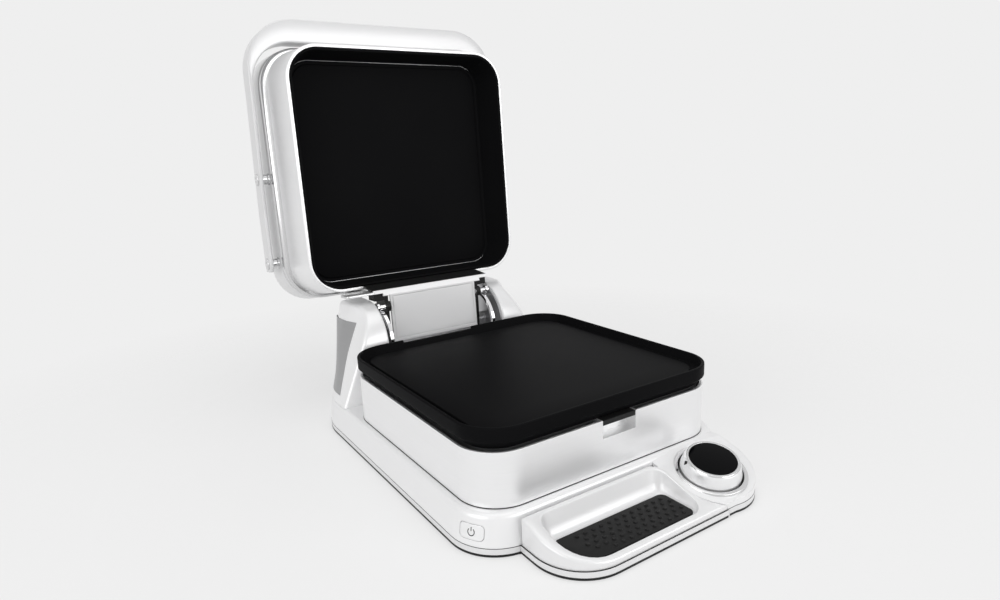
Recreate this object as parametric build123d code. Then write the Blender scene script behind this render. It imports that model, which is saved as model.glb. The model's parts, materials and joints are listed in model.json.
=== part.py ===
from build123d import *
import math
import os

# A countertop contact grill with a thick hinged lid, open by a little more than a right angle.
# X points right, Y to the back and Z up from the table. Lengths are in millimetres, angles in degrees.
# Every piece is drawn with Y = 0 at the middle of the plates. Lid pieces are drawn with the lid closed,
# and are then swung open about the hinge. At the end everything moves in Y by one amount, so that the
# origin is at the bottom centre of the whole grill.

# Plates
plate_size = 280.0          # side of both square plates
plate_corner = 40.0         # corner radius of both plates
plate_top = 105.0           # height of the lower plate's rim
rim_width = 5.0
groove_width = 8.0
groove_depth = 2.5
plate_floor = 5.0           # thickness of the cooking floor
lower_band = 12.0           # upright band of the lower plate's rim
lower_skirt = 9.0           # height of the sloping skirt under that band
lower_skirt_inset = 9.0
lower_surface_drop = 7.0    # cooking surface below the lower rim
spout_left = -72.0          # low stretch of the rear rim, where fat runs off
spout_right = 21.0
spout_drop = 3.0
upper_depth = 33.0          # depth of the upper plate's cavity
upper_rim_width = 2.5
upper_band = 6.0            # upright band of the upper plate's rim
upper_side_draft = 13.4     # how far the cavity's side walls lean in
upper_end_draft = 5.7       # the same for its front and rear walls
upper_wall = 4.0
upper_floor = 3.4           # thickness of the upper plate's cooking floor
upper_groove_width = 5.0
upper_groove_depth = 1.2
closed_gap = 0.6            # between the two rims when the lid is shut
seat_gap = 0.3              # between pieces that rest on each other across a removable seat

# Lower housing and its release tab
housing_inset = 1.5         # housing wall inside the plate's edge
housing_wall = 1.5
recess_left = -14.5
recess_right = 24.8
recess_bottom = 67.0
recess_depth = 12.0
tab_height = 5.4
tab_gap = 0.35
tab_travel = 3.0
tab_thickness = 4.0
pocket_low = 34.0           # pocket of the upper tab, above the lid's rim
pocket_high = 48.0
pocket_depth = 8.0
pocket_wall = 1.5
tail_inset = 6.0            # release tab's tail inside the tab's ends
tail_step = 0.8             # tail thinner than the tab by this much on each face
tail_reach = 3.0
contact_gap = 0.05          # left between pieces that touch
release_spring_radius = 1.6
release_spring_wire = 0.7
lower_spring_length = 7.5
spring_turns = 5

# Base
base_side = 10.5            # base past the plates' edge at its sides
base_front_margin = 10.0    # the same at its front
base_front_corner = 45.0
base_rear_corner = 88.0
base_top = 35.0
base_draft = 5.2            # how far the wall leans in from the pan to the top
shoulder_radius = 5.0
shell_wall = 3.0
pan_bottom = 1.5
pan_top = 8.0
pan_floor = 2.5
foot_radius = 9.0
foot_seat = 1.0             # depth of a foot's seat in the pan
foot_play = 0.1
pan_screw_radius = 4.0
pan_screw_seat = 1.2
pan_screw_length = 10.0
foot_inset = 34.0

# Hinge and towers
hinge_behind = 67.0         # hinge axis behind the plates' rear edge
hinge_z = 91.7
open_angle = 93.3           # from shut to the open stop
tower_inner = 81.0
tower_radius = 50.5
tower_foot_gap = 9.0        # from the plates' rear edge to the towers' feet
tower_lean = 25.3
tower_top_corner = 14.0
tower_flat = 26.0           # flat top behind the hinge axis
tower_rear_drop = 22.0      # height of the slope from that flat to the rear face
inlay_depth = 1.2
inlay_front_top = 37.0      # behind the plates' rear edge, at the inlay's top
inlay_front_low = 21.0      # the same at its lower end
inlay_top = 117.0
inlay_low = 46.0
inlay_corner = 4.0
inlay_chamfer = 12.0
post_thickness = 12.0       # cast bracket inside each tower
post_radius = 15.0
post_foot_height = 6.0
pin_radius = 5.0
pin_clearance = 0.06
arm_inner = 61.5
arm_thickness = 5.0
bush_wall = 2.0
tongue_reach = 28.0         # how far the hinge bracket stands past the lid's rim
tongue_slant = 3.8
bracket_thickness = 2.4
bracket_clearance = 0.7     # behind the upper plate
bracket_flange_at = 44.0
cover_play = 1.5            # hinge cover inside the arms
cover_thickness = 3.0
cover_band = 6.3            # depth of the slanted, wider band at the cover's edge
cover_end = 71.0            # behind the plates' rear edge, lid shut
guide_pin_radius = 3.3
guide_pin_back = 25.4       # guide pin behind the plates' rear edge, lid shut
guide_pin_drop = 29.8       # guide pin below the lid's rim
guide_cap_radius = 6.0
lid_spring_radius = 9.0
lid_spring_wire = 1.1
rail_radius = 38.4
rail_width = 4.4
rail_lug_radius = 1.6
rail_thickness = 4.0
rail_inset = 11.0           # rail's inner face inside the tower's
cheek_radius = 46.0
cheek_thickness = 1.4
cheek_gap = 0.1             # between a cheek and its tower
side_play = 0.4             # between moving pieces side by side

# Lid: each stage stands past the plates' edge by a margin at its sides, its front and its rear
upper_corner = 34.5
mouth_side = 4.5
mouth_front = 4.5
mouth_rear = 4.5
mouth_corner = 40.0
box_side = 10.0
box_front = 10.5
box_rear = 14.0
box_corner = 45.0
box_height = 66.5           # from the rims to the trim
trim_height = 13.5
trim_side = 15.5
trim_front = 13.0
trim_rear = 18.0
trim_corner = 47.5
trim_rounding = 3.0
cover_side = 16.0
cover_front = 13.5
cover_rear = 18.5
cover_corner = 47.0
swell_side = 18.6
swell_front = 15.5
swell_rear = 27.0
swell_corner = 48.3
lid_cover_height = 52.0
lid_cover_round = 9.0
lid_cover_wall = 2.6
lid_crown_radius = 2600.0

# Handle: a bent band in the side view, and a U in the top view
handle_above_box = 11.0     # from the trim's lower edge to the band at its lower end
handle_bend_drop = 16.5     # how far the front bar lies nearer to the rims
handle_bend_rear = 45.0     # where the band bends, behind the plates' middle
handle_bend_inset = 16.0    # front bend inside the plates' front edge
handle_width = 26.5
handle_arm_gap = 25.5       # arms' inner faces beyond the plates' edge
handle_thickness = 4.5
handle_bar_gap = 17.5       # bar's inner face beyond the plates' edge
handle_bar_depth = 27.0
handle_end_inset = 21.5     # arms' ends inside the plates' rear edge
handle_end_round = 7.0
handle_corner = 60.0
handle_inner_corner = 50.0
handle_wall = 3.0
handle_cover_gap = 0.2
handle_bar_margin = 12.0    # bar's hollow ends this far inside the plates' edge
handle_screws_at = (108.0, 2.3)     # behind the plates' middle
spacer_radius = 7.2
screw_head_radius = 7.5
screw_head_height = 1.6
screw_shank_radius = 2.0
screw_shank_length = 18.0
screw_socket_radius = 2.4
screw_boss_radius = 6.0
screw_play = 0.2

# Drip tray at the front
tray_left = -111.5
tray_reach = 73.5           # tray in front of the plates' edge
tray_front_corner = 45.0
tray_rear_corner = 12.0
tray_gap = 0.8
tray_rim_rear = 33.2        # height of the tray's rim at its back
tray_slope = 17.6
tray_wall = 2.6
basin_left = -97.5
basin_right = 34.0
basin_margin = 6.0          # tray's rim at the front and rear of the basin
basin_floor = 11.0
basin_front_corner = 30.0
basin_corner = 10.0
basin_round = 6.0           # between the basin's walls and floor
mat_thickness = 1.6
mat_margin = 5.6
dimple_radius = 1.1
dimple_depth = 0.7
dimple_pitch = 10.5

# Control knob, on a lobe of the base at the front right
knob_x = 79.0
knob_reach = 39.0           # knob's middle in front of the plates' edge
knob_seat_z = 24.3
knob_tilt = 14.0            # towards the user
knob_lean = 5.5             # towards the middle of the grill
knob_ring_radius = 27.5
knob_top_radius = 23.8
knob_height = 14.0
knob_foot = -6.0
glass_radius = 21.2
glass_thickness = 2.0
knob_running_gap = 0.4
collar_inner = 29.0
collar_outer = 32.5
collar_lip = 1.8
collar_depth = 10.0
lobe_x = 81.0
lobe_reach = 29.0           # lobe's middle in front of the plates' edge
lobe_radius = 45.5
lobe_bay_radius = 40.0      # round stretch of the tray's edge, about the knob
lobe_slope = 16.2
lobe_cross_slope = 2.9

# Power button on the front left corner
button_angle = 28.0         # round the corner, from straight left towards the front
button_width = 23.0
button_height = 13.0
button_corner = 4.0
button_z = 19.5
button_gap = 0.35
button_thickness = 2.4
button_travel = 1.2
button_stem = 7.0

# Rear cover and cord gland
rear_cover_top = 84.0
rear_cover_depth = 18.0
gland_x = 55.0
gland_z = 21.0
gland_bore = 4.0
gland_flange = 9.0
terminal_width = 32.0
terminal_depth = 16.0
terminal_height = 15.0
gland_room = 43.5           # from the rear face to the terminal block's middle

# Heating
heater_radius = 3.25
heater_inset = 40.0         # heating tube inside the plates' edge
heater_bend = 34.0
heater_gap = 0.45
heater_end = 16.0           # half the gap between the two ends of the tube
lower_pan_depth = 10.0
upper_pan_depth = 15.0
upper_pan_inset = 15.0      # upper reflector inside the plate's edge
reflector_wall = 1.2
sensor_radius = 9.0

# Power board
board_width = 120.0
board_depth = 76.0
board_thickness = 1.6
board_lift = 6.0            # under the board
board_post_radius = 3.0
board_behind = 18.0         # board's middle behind the plates' rear edge
relay_width = 20.0
relay_height = 13.0

# Values worked out from the dimensions above
half = plate_size / 2
board_middle = half + board_behind
hinge_y = half + hinge_behind
tower_foot_front = half + tower_foot_gap
base_half_width = half + base_side
base_front = -half - base_front_margin
knob_y = -half - knob_reach
lobe_y = -half - lobe_reach
tray_front = -half - tray_reach
basin_rear = base_front - basin_margin
basin_front = tray_front + basin_margin
bracket_half_width = tower_inner - side_play
cover_half_width = arm_inner - cover_play
handle_start = box_height + handle_above_box
handle_bar_start = handle_start - handle_bend_drop
handle_bend_front = -half + handle_bend_inset
handle_arm_end = half - handle_end_inset
heater_half_span = half - heater_inset
guide_pin_reach = math.hypot(hinge_behind - guide_pin_back, hinge_z - plate_top - closed_gap + guide_pin_drop)
rim_plane = plate_top + closed_gap                      # the lid's rim when shut
lower_plate_bottom = plate_top - lower_band - lower_skirt + seat_gap
housing_top = lower_plate_bottom - seat_gap
housing_half = half - housing_inset
housing_corner = plate_corner - housing_inset
base_rear = hinge_y + tower_radius
tray_back = base_front - tray_gap
tray_right = knob_x - lobe_bay_radius
cover_start = rim_plane + box_height + trim_height
box_back = rim_plane + box_height
tower_top = hinge_z + tower_radius
bracket_front = half + bracket_clearance
tongue_low = rim_plane - tongue_reach
knob_axis = Vector(
    -math.tan(math.radians(knob_lean)), -math.tan(math.radians(knob_tilt)), 1.0
).normalized()
knob_plane = Plane(origin=(knob_x, knob_y, knob_seat_z), z_dir=knob_axis)
tray_tan = math.tan(math.radians(tray_slope))


def outline(left, right, front, back, front_left, front_right, back_right=None, back_left=None):
    """Flat face with a radius for each corner; with two radii, one is for the front and one for the back."""
    if back_right is None:
        front_left, front_right, back_right, back_left = front_left, front_left, front_right, front_right
    edges = [
        Line((left + front_left, front), (right - front_right, front)),
        CenterArc((right - front_right, front + front_right), front_right, -90, 90),
        Line((right, front + front_right), (right, back - back_right)),
        CenterArc((right - back_right, back - back_right), back_right, 0, 90),
        Line((right - back_right, back), (left + back_left, back)),
        CenterArc((left + back_left, back - back_left), back_left, 90, 90),
        Line((left, back - back_left), (left, front + front_left)),
        CenterArc((left + front_left, front + front_left), front_left, 180, 90),
    ]
    return make_face(edges)


def square_block(half_side, corner, low, high):
    """Upright block with a rounded square outline, centred on the plates."""
    return Pos(0, 0, low) * extrude(RectangleRounded(2 * half_side, 2 * half_side, corner), high - low)


def leaning_block(sides_low, sides_high, corner_low, corner_high, low, high):
    """Rounded block whose sides lean from one pair of half widths, in X and Y, to another."""
    lower = Pos(0, 0, low) * RectangleRounded(2 * sides_low[0], 2 * sides_low[1], corner_low)
    upper = Pos(0, 0, high) * RectangleRounded(2 * sides_high[0], 2 * sides_high[1], corner_high)
    return loft([lower.face(), upper.face()], ruled=True)


def box_between(left, right, front, back, low, high):
    """Plain box given by its six sides."""
    centre = ((left + right) / 2, (front + back) / 2, (low + high) / 2)
    return Pos(*centre) * Box(right - left, back - front, high - low)


def lid_section(z, side, front, rear, corner):
    """Outline of the lid at a height, given by its margins past the plates' edge."""
    return Pos(0, 0, z) * outline(-half - side, half + side, -half - front, half + rear, corner, corner)


def rod_along_x(start, end, y, z, radius):
    """Round bar along X."""
    return Pos((start + end) / 2, y, z) * (Rot(0, 90, 0) * Cylinder(radius, abs(end - start)))


def both_sides(piece):
    """The piece and its mirror image across the middle plane."""
    return [piece, mirror(piece, about=Plane.YZ)]


def group(pieces):
    """Several separate solids kept as one sub-part."""
    solids = []
    for piece in pieces:
        solids.extend(piece.solids())
    return Compound(children=solids)


def swing_open(piece):
    """Turns a lid piece from the shut position to the open stop."""
    axis = Axis((0, hinge_y, hinge_z), (1, 0, 0))
    return piece.rotate(axis, -open_angle)


def spring(radius, wire, turns, length):
    """Helical spring along Z from the origin, as one unbroken round wire."""
    path = Helix(pitch=length / turns, height=length, radius=radius)
    section = Plane(origin=path @ 0, z_dir=path % 0) * Circle(wire / 2)
    return sweep(section, path=path, is_frenet=True)


# Base: pan, feet, shell, towers and covers
def main_outline(inset, z):
    """Outline of the base without the tray and the lobe, at a height."""
    share = (z - pan_top) / (base_top - pan_top)
    lean = inset + base_draft * max(share, 0)
    return Pos(0, 0, z) * outline(
        lean - base_half_width,
        base_half_width - lean,
        base_front + lean,
        base_rear - inset,
        base_front_corner - lean,
        base_rear_corner - lean,
    )


def main_body(inset, low, high):
    """Leaning body of the base between two heights."""
    return loft([main_outline(inset, low).face(), main_outline(inset, high).face()], ruled=True)


def lobe_outline(inset):
    """Outline of the front right lobe that carries the knob."""
    round_part = Pos(lobe_x, lobe_y) * Circle(lobe_radius - inset)
    left_part = Pos((tray_right + lobe_x) / 2, (tray_front + base_front) / 2) * Rectangle(
        lobe_x - tray_right, base_front - tray_front - 2 * inset
    )
    link_front = lobe_y
    link_back = base_front + 2 * base_draft
    link_right = lobe_x + lobe_radius - inset
    link_part = Pos((tray_right + link_right) / 2, (link_front + link_back) / 2) * Rectangle(
        link_right - tray_right, link_back - link_front
    )
    return round_part + left_part + link_part


def tray_outline(growth):
    """Outline of the drip tray, which runs round the knob, grown or shrunk by an amount."""
    left = tray_left - growth
    front = tray_front - growth
    back = tray_back + growth
    bay = lobe_bay_radius - growth
    right = knob_x - bay
    corner_x = tray_left + tray_front_corner
    corner_y = tray_front + tray_front_corner
    turn_x = tray_right - tray_rear_corner
    turn_y = tray_back - tray_rear_corner
    end_angle = 180 + math.degrees(math.asin(min((knob_y - front) / bay, 1.0)))
    end_x = knob_x + bay * math.cos(math.radians(end_angle))
    end_y = knob_y + bay * math.sin(math.radians(end_angle))
    edges = [
        Line((left, back), (left, corner_y)),
        CenterArc((corner_x, corner_y), tray_front_corner + growth, 180, 90),
        Line((corner_x, front), (end_x, front)),
        CenterArc((knob_x, knob_y), bay, 180, end_angle - 180),
        Line((right, knob_y), (right, turn_y)),
        CenterArc((turn_x, turn_y), tray_rear_corner + growth, 0, 90),
        Line((turn_x, back), (left, back)),
    ]
    if end_y > front + 1e-6:
        edges.append(Line((end_x, end_y), (end_x, front)))
    return make_face(edges)


def under_shelf(drop):
    """Everything below the sloping top of the lobe, lowered by an amount."""
    slope = Rot(lobe_slope, 0, 0) * (Rot(0, -lobe_cross_slope, 0) * Pos(0, 0, -100) * Box(600, 600, 200))
    return Pos(knob_x, knob_y, knob_seat_z - drop) * slope


def base_solid(inset, low):
    """The whole base as a solid, reduced by an inset on its outer sides and top."""
    top = base_top - inset
    body = main_body(inset, low, top)
    lobe = Pos(0, 0, low) * extrude(lobe_outline(inset), top - low)
    lobe = lobe & under_shelf(inset)
    if inset == 0:
        body = fillet(body.faces().sort_by(Axis.Z)[-1].edges(), shoulder_radius)
    body = body + lobe
    bay = Pos(0, 0, low - 1) * extrude(tray_outline(tray_gap + inset), top + 100)
    return body - bay


def screw_places():
    """Places of the screws that hold the pan to the shell."""
    side = base_half_width - 26
    front = base_front + 62
    back = base_rear - 40
    return [(-side, front), (side, front), (-side, 40), (side, 40), (-100, back), (100, back)]


def make_base_shell():
    shell = base_solid(0, pan_top) - base_solid(shell_wall, pan_top - 1)
    for x, y in screw_places():
        shell += Pos(x, y, (pan_top + base_top - 1) / 2) * Cylinder(6, base_top - 1 - pan_top)
        shell -= Pos(x, y, pan_top + 6) * Cylinder(screw_shank_radius, 14)
    well_depth = 40
    shell -= knob_plane * (Pos(0, 0, 10 - well_depth / 2) * Cylinder(collar_outer + 0.2, well_depth))
    shell -= button_prism(0, 30)
    shell -= Pos(gland_x, base_rear, gland_z) * (Rot(90, 0, 0) * Cylinder(gland_bore + 2.5, 30))
    shell -= Pos(0, 60, base_top) * Cylinder(14, 20)
    return shell


def make_base_pan():
    outer = main_outline(0, 0) + lobe_outline(0) + tray_outline(tray_gap)
    pan = Pos(0, 0, pan_bottom) * extrude(outer, pan_top - pan_bottom)
    inner = main_outline(shell_wall + 0.4, 0) + lobe_outline(shell_wall + 0.4)
    inner -= tray_outline(tray_gap + shell_wall)
    pan -= Pos(0, 0, pan_bottom + pan_floor) * extrude(inner, pan_top)
    under_tray = tray_outline(-2 * tray_wall)
    pan -= Pos(0, 0, pan_bottom - 1) * extrude(under_tray, pan_top - pan_floor - pan_bottom + 1)
    for x, y in screw_places():
        pan -= Pos(x, y, pan_bottom + 1.25) * Cylinder(screw_shank_radius + 0.3, 5)
        seat = pan_screw_seat + contact_gap
        pan -= Pos(x, y, pan_bottom) * Cylinder(pan_screw_radius + screw_play, 2 * seat)
        pan += Pos(x, y, (pan_bottom + pan_floor + pan_top) / 2) * (
            Cylinder(6, pan_top - pan_bottom - pan_floor) - Cylinder(screw_shank_radius + 0.3, 20)
        )
    for x, y in foot_places():
        pan -= Pos(x, y, pan_bottom) * Cylinder(foot_radius + foot_play, 2 * (foot_seat + contact_gap))
    slots = [Pos(x, y, pan_bottom) * Box(4, 46, 20) for x in range(-54, 55, 12) for y in (-40, 60)]
    for slot in slots:
        pan -= slot
    return pan


def foot_places():
    side = base_half_width - foot_inset
    return [(-side, base_front + 50), (side, base_front + 50), (-side, base_rear - 62), (side, base_rear - 62)]


def make_feet():
    feet = []
    for x, y in foot_places():
        height = pan_bottom + foot_seat
        foot = Pos(x, y, height / 2) * Cylinder(foot_radius, height)
        feet.append(fillet(foot.edges().sort_by(Axis.Z)[0], 0.8))
    return group(feet)


def make_base_screws():
    screws = []
    for x, y in screw_places():
        thickness = pan_screw_seat - 2 * contact_gap
        middle = pan_bottom + pan_screw_seat / 2 + contact_gap
        head = Pos(x, y, middle) * Cylinder(pan_screw_radius, thickness)
        shank_middle = pan_bottom + pan_screw_seat + pan_screw_length / 2
        shank = Pos(x, y, shank_middle) * Cylinder(screw_shank_radius - 0.02, pan_screw_length)
        slot = Pos(x, y, pan_bottom) * Box(1.5 * pan_screw_radius, pan_screw_radius / 4, pan_screw_seat)
        screws.append(head + shank - slot)
    return group(screws)


def tower_profile(inset):
    """Side view of a tower: a leaning front and a round top about the hinge."""
    radius = tower_radius - inset
    foot = tower_foot_front + inset
    low = base_top - inset
    reach = hinge_y - foot
    rise = hinge_z - low
    distance = math.hypot(reach, rise)
    bearing = math.atan2(-rise, -reach)
    touch = bearing - math.acos(radius / distance)
    touch_point = (hinge_y + radius * math.cos(touch), hinge_z + radius * math.sin(touch))
    high = hinge_z + radius
    middle = (touch + math.radians(450)) / 2
    arc_middle = (hinge_y + radius * math.cos(middle), hinge_z + radius * math.sin(middle))
    back = hinge_y + radius
    face = make_face([
        Line((foot, low), touch_point),
        ThreePointArc(touch_point, arc_middle, (hinge_y, high)),
        Line((hinge_y, high), (hinge_y + tower_flat, high)),
        Line((hinge_y + tower_flat, high), (back, high - tower_rear_drop)),
        Line((back, high - tower_rear_drop), (back, low)),
        Line((back, low), (foot, low)),
    ])
    return Plane.YZ * face


def tower_block(inset, bottom_raise):
    """Right tower, reduced by an inset on its outer sides."""
    inner_x = tower_inner + inset
    side = extrude(Pos(inner_x, 0, 0) * tower_profile(inset), 90)
    foot_x = base_half_width - base_draft - inset
    lean = math.tan(math.radians(tower_lean)) * (tower_top - base_top)
    back = base_rear - inset
    inside = 30.0

    def section(z, outer_x, radius):
        edges = [
            Line((inside, tower_foot_front - 20), (outer_x, tower_foot_front - 20)),
            Line((outer_x, tower_foot_front - 20), (outer_x, back - radius)),
            CenterArc((outer_x - radius, back - radius), radius, 0, 90),
            Line((outer_x - radius, back), (inside, back)),
            Line((inside, back), (inside, tower_foot_front - 20)),
        ]
        return Pos(0, 0, z) * make_face(edges)

    leaning = loft(
        [
            section(base_top, foot_x, base_rear_corner - base_draft - inset).face(),
            section(tower_top, foot_x - lean, tower_top_corner).face(),
        ],
        ruled=True,
    )
    block = side & leaning
    if bottom_raise:
        block += box_between(inner_x, foot_x - 22, tower_foot_front + inset + 1, back - 42, base_top - 6, base_top + 1)
    return block


def make_tower(side):
    shell = tower_block(0, False) - tower_block(shell_wall, True)
    shell -= rod_along_x(tower_inner - 5, tower_inner + 8, hinge_y, hinge_z, pin_radius + 1.0)
    shell -= inlay_block(inlay_depth)
    if side == "left":
        shell = mirror(shell, about=Plane.YZ)
    return shell


def inlay_block(depth):
    """Skin of the right tower's outer face, where the inlay sits."""
    corners = [
        (half + inlay_front_low, inlay_low),
        (half + inlay_front_top, inlay_top - inlay_chamfer),
        (half + inlay_front_top, inlay_top),
        (base_rear - tower_top_corner, inlay_top),
        (base_rear - tower_top_corner, inlay_low),
    ]
    flat = Plane.YZ * make_face(Polyline(*corners, close=True))
    flat = fillet(flat.vertices(), inlay_corner)
    prism = extrude(Pos(tower_inner + shell_wall, 0, 0) * flat, base_half_width)
    skin = tower_block(0, False) - tower_block(depth, False)
    return prism & skin


def make_tower_inlays():
    plate = inlay_block(inlay_depth - contact_gap)
    return group(both_sides(plate))


def make_rear_cover():
    half_width = tower_inner - cheek_gap - cheek_thickness - side_play
    front = base_rear - rear_cover_depth
    back = base_rear - 1.0
    cover = box_between(-half_width, half_width, front, back, base_top + 0.1, rear_cover_top)
    cover = fillet(cover.edges().filter_by(Axis.X).group_by(Axis.Z)[-1], 5.0)
    inner = box_between(
        -half_width + shell_wall, half_width - shell_wall, front + shell_wall, back - shell_wall,
        base_top - 1, rear_cover_top - shell_wall,
    )
    cover -= inner
    for x in range(-60, 61, 12):
        cover -= Pos(x, back, (base_top + rear_cover_top) / 2 + 2) * Box(4, 3 * shell_wall, 22)
    return cover


def make_cord_gland():
    back = base_rear
    flange = Pos(gland_x, back + 1.5, gland_z) * (Rot(90, 0, 0) * Cylinder(gland_flange, 3))
    neck = Pos(gland_x, back - 4, gland_z) * (Rot(90, 0, 0) * Cylinder(gland_bore + 2.4, 8.2))
    nut = Pos(gland_x, back - shell_wall - 3.2, gland_z) * (Rot(90, 0, 0) * Cylinder(gland_flange - 1, 5.8))
    bore = Pos(gland_x, back, gland_z) * (Rot(90, 0, 0) * Cylinder(gland_bore, 40))
    return flange + neck + nut - bore


# Hinge
def make_hinge_brackets():
    """Cast brackets inside the towers, which carry the pins."""
    inner = tower_inner + shell_wall + seat_gap
    outer = inner + post_thickness
    post = box_between(inner, outer, hinge_y - post_radius, hinge_y + post_radius, base_top, hinge_z)
    post += rod_along_x(inner, outer, hinge_y, hinge_z, post_radius)
    post -= rod_along_x(inner - 1, outer + 1, hinge_y, hinge_z, pin_radius)
    foot = box_between(
        inner, outer + 2 * post_foot_height, hinge_y - post_radius - post_thickness,
        hinge_y + post_radius + post_thickness, base_top, base_top + post_foot_height,
    )
    return group(both_sides(post + foot))


def make_hinge_pins():
    start = arm_inner - 1.0
    end = tower_inner + shell_wall + 14
    pin = rod_along_x(start, end, hinge_y, hinge_z, pin_radius)
    head = rod_along_x(start - 2.5, start, hinge_y, hinge_z, pin_radius + 2.5)
    return group(both_sides(pin + head))


def make_hinge_cheeks():
    outer = tower_inner - cheek_gap
    inner = outer - cheek_thickness
    cheek = rod_along_x(inner, outer, hinge_y, hinge_z, cheek_radius)
    cheek -= rod_along_x(inner - 1, outer + 1, hinge_y, hinge_z, pin_radius)
    cheek -= box_between(inner - 1, outer + 1, hinge_y - 60, hinge_y + 60, 0, base_top + 12)
    return group(both_sides(cheek))


def rail_piece():
    inner = tower_inner - rail_inset
    outer = inner + rail_thickness
    high = rail_radius + rail_width / 2
    low = rail_radius - rail_width / 2
    ring = rod_along_x(inner, outer, hinge_y, hinge_z, high) - rod_along_x(inner - 1, outer + 1, hinge_y, hinge_z, low)
    keep = box_between(inner - 1, outer + 1, hinge_y - 60, hinge_y - 6, hinge_z - 12, hinge_z + 60)
    rail = ring & keep
    for angle in (110.0, 186.0):
        lug_at = guide_pin_reach - guide_cap_radius - seat_gap - rail_lug_radius
        y = hinge_y + lug_at * math.cos(math.radians(angle))
        z = hinge_z + lug_at * math.sin(math.radians(angle))
        rail += rod_along_x(outer - 1, tower_inner - cheek_gap - cheek_thickness, y, z, rail_lug_radius)
    return rail


def make_guide_rails():
    return group(both_sides(rail_piece()))


def tongue_rear(z):
    """Rear face of the bracket at a height, lid shut."""
    return bracket_front + bracket_thickness + tongue_slant * max(rim_plane - z, 0) / tongue_reach


def make_hinge_bracket():
    """Bent steel bracket: a plate inside the lid's box, and a tongue that slants out past its rim."""
    high = rim_plane + bracket_flange_at
    wall_rear = half + mouth_rear + (box_rear - mouth_rear) * bracket_flange_at / box_height
    flange_end = wall_rear - housing_wall - seat_gap
    front = bracket_front
    profile = make_face(Polyline(
        (front + tongue_slant, tongue_low), (front, rim_plane), (front, high + bracket_thickness),
        (flange_end, high + bracket_thickness), (flange_end, high), (front + bracket_thickness, high),
        (front + bracket_thickness, rim_plane), (tongue_rear(tongue_low), tongue_low), close=True,
    ))
    plate = extrude(Pos(-bracket_half_width, 0, 0) * (Plane.YZ * profile), 2 * bracket_half_width)
    return swing_open(plate)


def make_hinge_arms():
    inner = arm_inner
    outer = arm_inner + arm_thickness
    low = tongue_low + tab_gap
    high = rim_plane - 1.0
    contact = 0.05
    boss = pin_radius + pin_clearance + bush_wall + 5.0
    profile = make_face(Polyline(
        (tongue_rear(low) + contact, low), (tongue_rear(high) + contact, high), (tongue_rear(high) + 8, high),
        (hinge_y, hinge_z + boss), (hinge_y, hinge_z - boss), (hinge_y - 22, low), close=True,
    ))
    plate = extrude(Pos(inner, 0, 0) * (Plane.YZ * profile), arm_thickness)
    plate += rod_along_x(inner, outer, hinge_y, hinge_z, boss)
    foot = make_face(Polyline(
        (tongue_rear(low) + contact, low), (tongue_rear(high - 8) + contact, high - 8),
        (hinge_y - tower_radius + 1, high - 8), (hinge_y - tower_radius + 1, low), close=True,
    ))
    foot_end = tower_inner - cheek_gap - cheek_thickness - side_play
    plate += extrude(Pos(inner, 0, 0) * (Plane.YZ * foot), foot_end - inner)
    lug_y = half + guide_pin_back
    lug_z = rim_plane - guide_pin_drop
    plate += rod_along_x(inner, outer, lug_y, lug_z, guide_pin_radius + 3)
    plate -= rod_along_x(inner - 1, outer + 1, lug_y, lug_z, guide_pin_radius)
    plate -= rod_along_x(inner - 1, outer + 1, hinge_y, hinge_z, pin_radius + pin_clearance + bush_wall)
    return swing_open(group(both_sides(plate)))


def make_hinge_bushes():
    inner = arm_inner - 0.6
    outer = arm_inner + arm_thickness + 0.6
    bore = pin_radius + pin_clearance
    bush = rod_along_x(inner, outer, hinge_y, hinge_z, bore + bush_wall)
    bush -= rod_along_x(inner - 1, outer + 1, hinge_y, hinge_z, bore)
    return swing_open(group(both_sides(bush)))


def make_guide_pins():
    z = rim_plane - guide_pin_drop
    y = half + guide_pin_back
    pin = rod_along_x(arm_inner - 0.9, tower_inner - 6.0, y, z, guide_pin_radius)
    cap = rod_along_x(tower_inner - 6.0, tower_inner - 2.2, y, z, guide_cap_radius)
    cap = fillet(cap.edges().sort_by(Axis.X)[0], 1.2)
    return swing_open(group(both_sides(pin + cap)))


def make_lid_springs():
    """Torsion springs round the pins, which take part of the lid's weight."""
    start = arm_inner + arm_thickness + side_play + lid_spring_wire / 2
    end = tower_inner - cheek_gap - cheek_thickness - contact_gap - lid_spring_wire / 2
    coil = spring(lid_spring_radius, lid_spring_wire, spring_turns, end - start)
    coil = Pos(start, hinge_y, hinge_z) * (Rot(0, 90, 0) * coil)
    return group(both_sides(coil))


def cover_plan():
    """Stepped outline of the hinge cover, seen from below with the lid shut."""
    start = bracket_front + tongue_slant
    steps = [
        (bracket_half_width, 0.65 * cover_band), (cover_half_width + 8.5, 1.2 * cover_band),
        (cover_half_width, half + cover_end - start),
    ]
    shape = None
    for width, length in steps:
        piece = Pos(0, start + length / 2) * Rectangle(2 * width, length)
        shape = piece if shape is None else shape + piece
    return shape


def make_hinge_cover():
    start = bracket_front + tongue_slant
    top = tongue_low - 0.05
    low = top - cover_thickness
    profile = make_face(Polyline(
        (start, top), (start, top - 0.8), (start + cover_band, low), (half + cover_end, low),
        (half + cover_end, top), close=True,
    ))
    block = extrude(Pos(-bracket_half_width, 0, 0) * (Plane.YZ * profile), 2 * bracket_half_width)
    cover = block & (Pos(0, 0, low - 1) * extrude(cover_plan(), cover_thickness + 2))
    return swing_open(cover - panel_block(0.25))


def panel_block(growth):
    low = tongue_low - 0.05 - cover_thickness
    width = cover_half_width - 3.5 + growth
    front = bracket_front + tongue_slant + cover_band + 3.0 - growth
    back = half + cover_end - 5.0 + growth
    return box_between(-width, width, front, back, low - 0.01, low + cover_thickness / 2)


def make_hinge_panel():
    return swing_open(panel_block(0))


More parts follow.
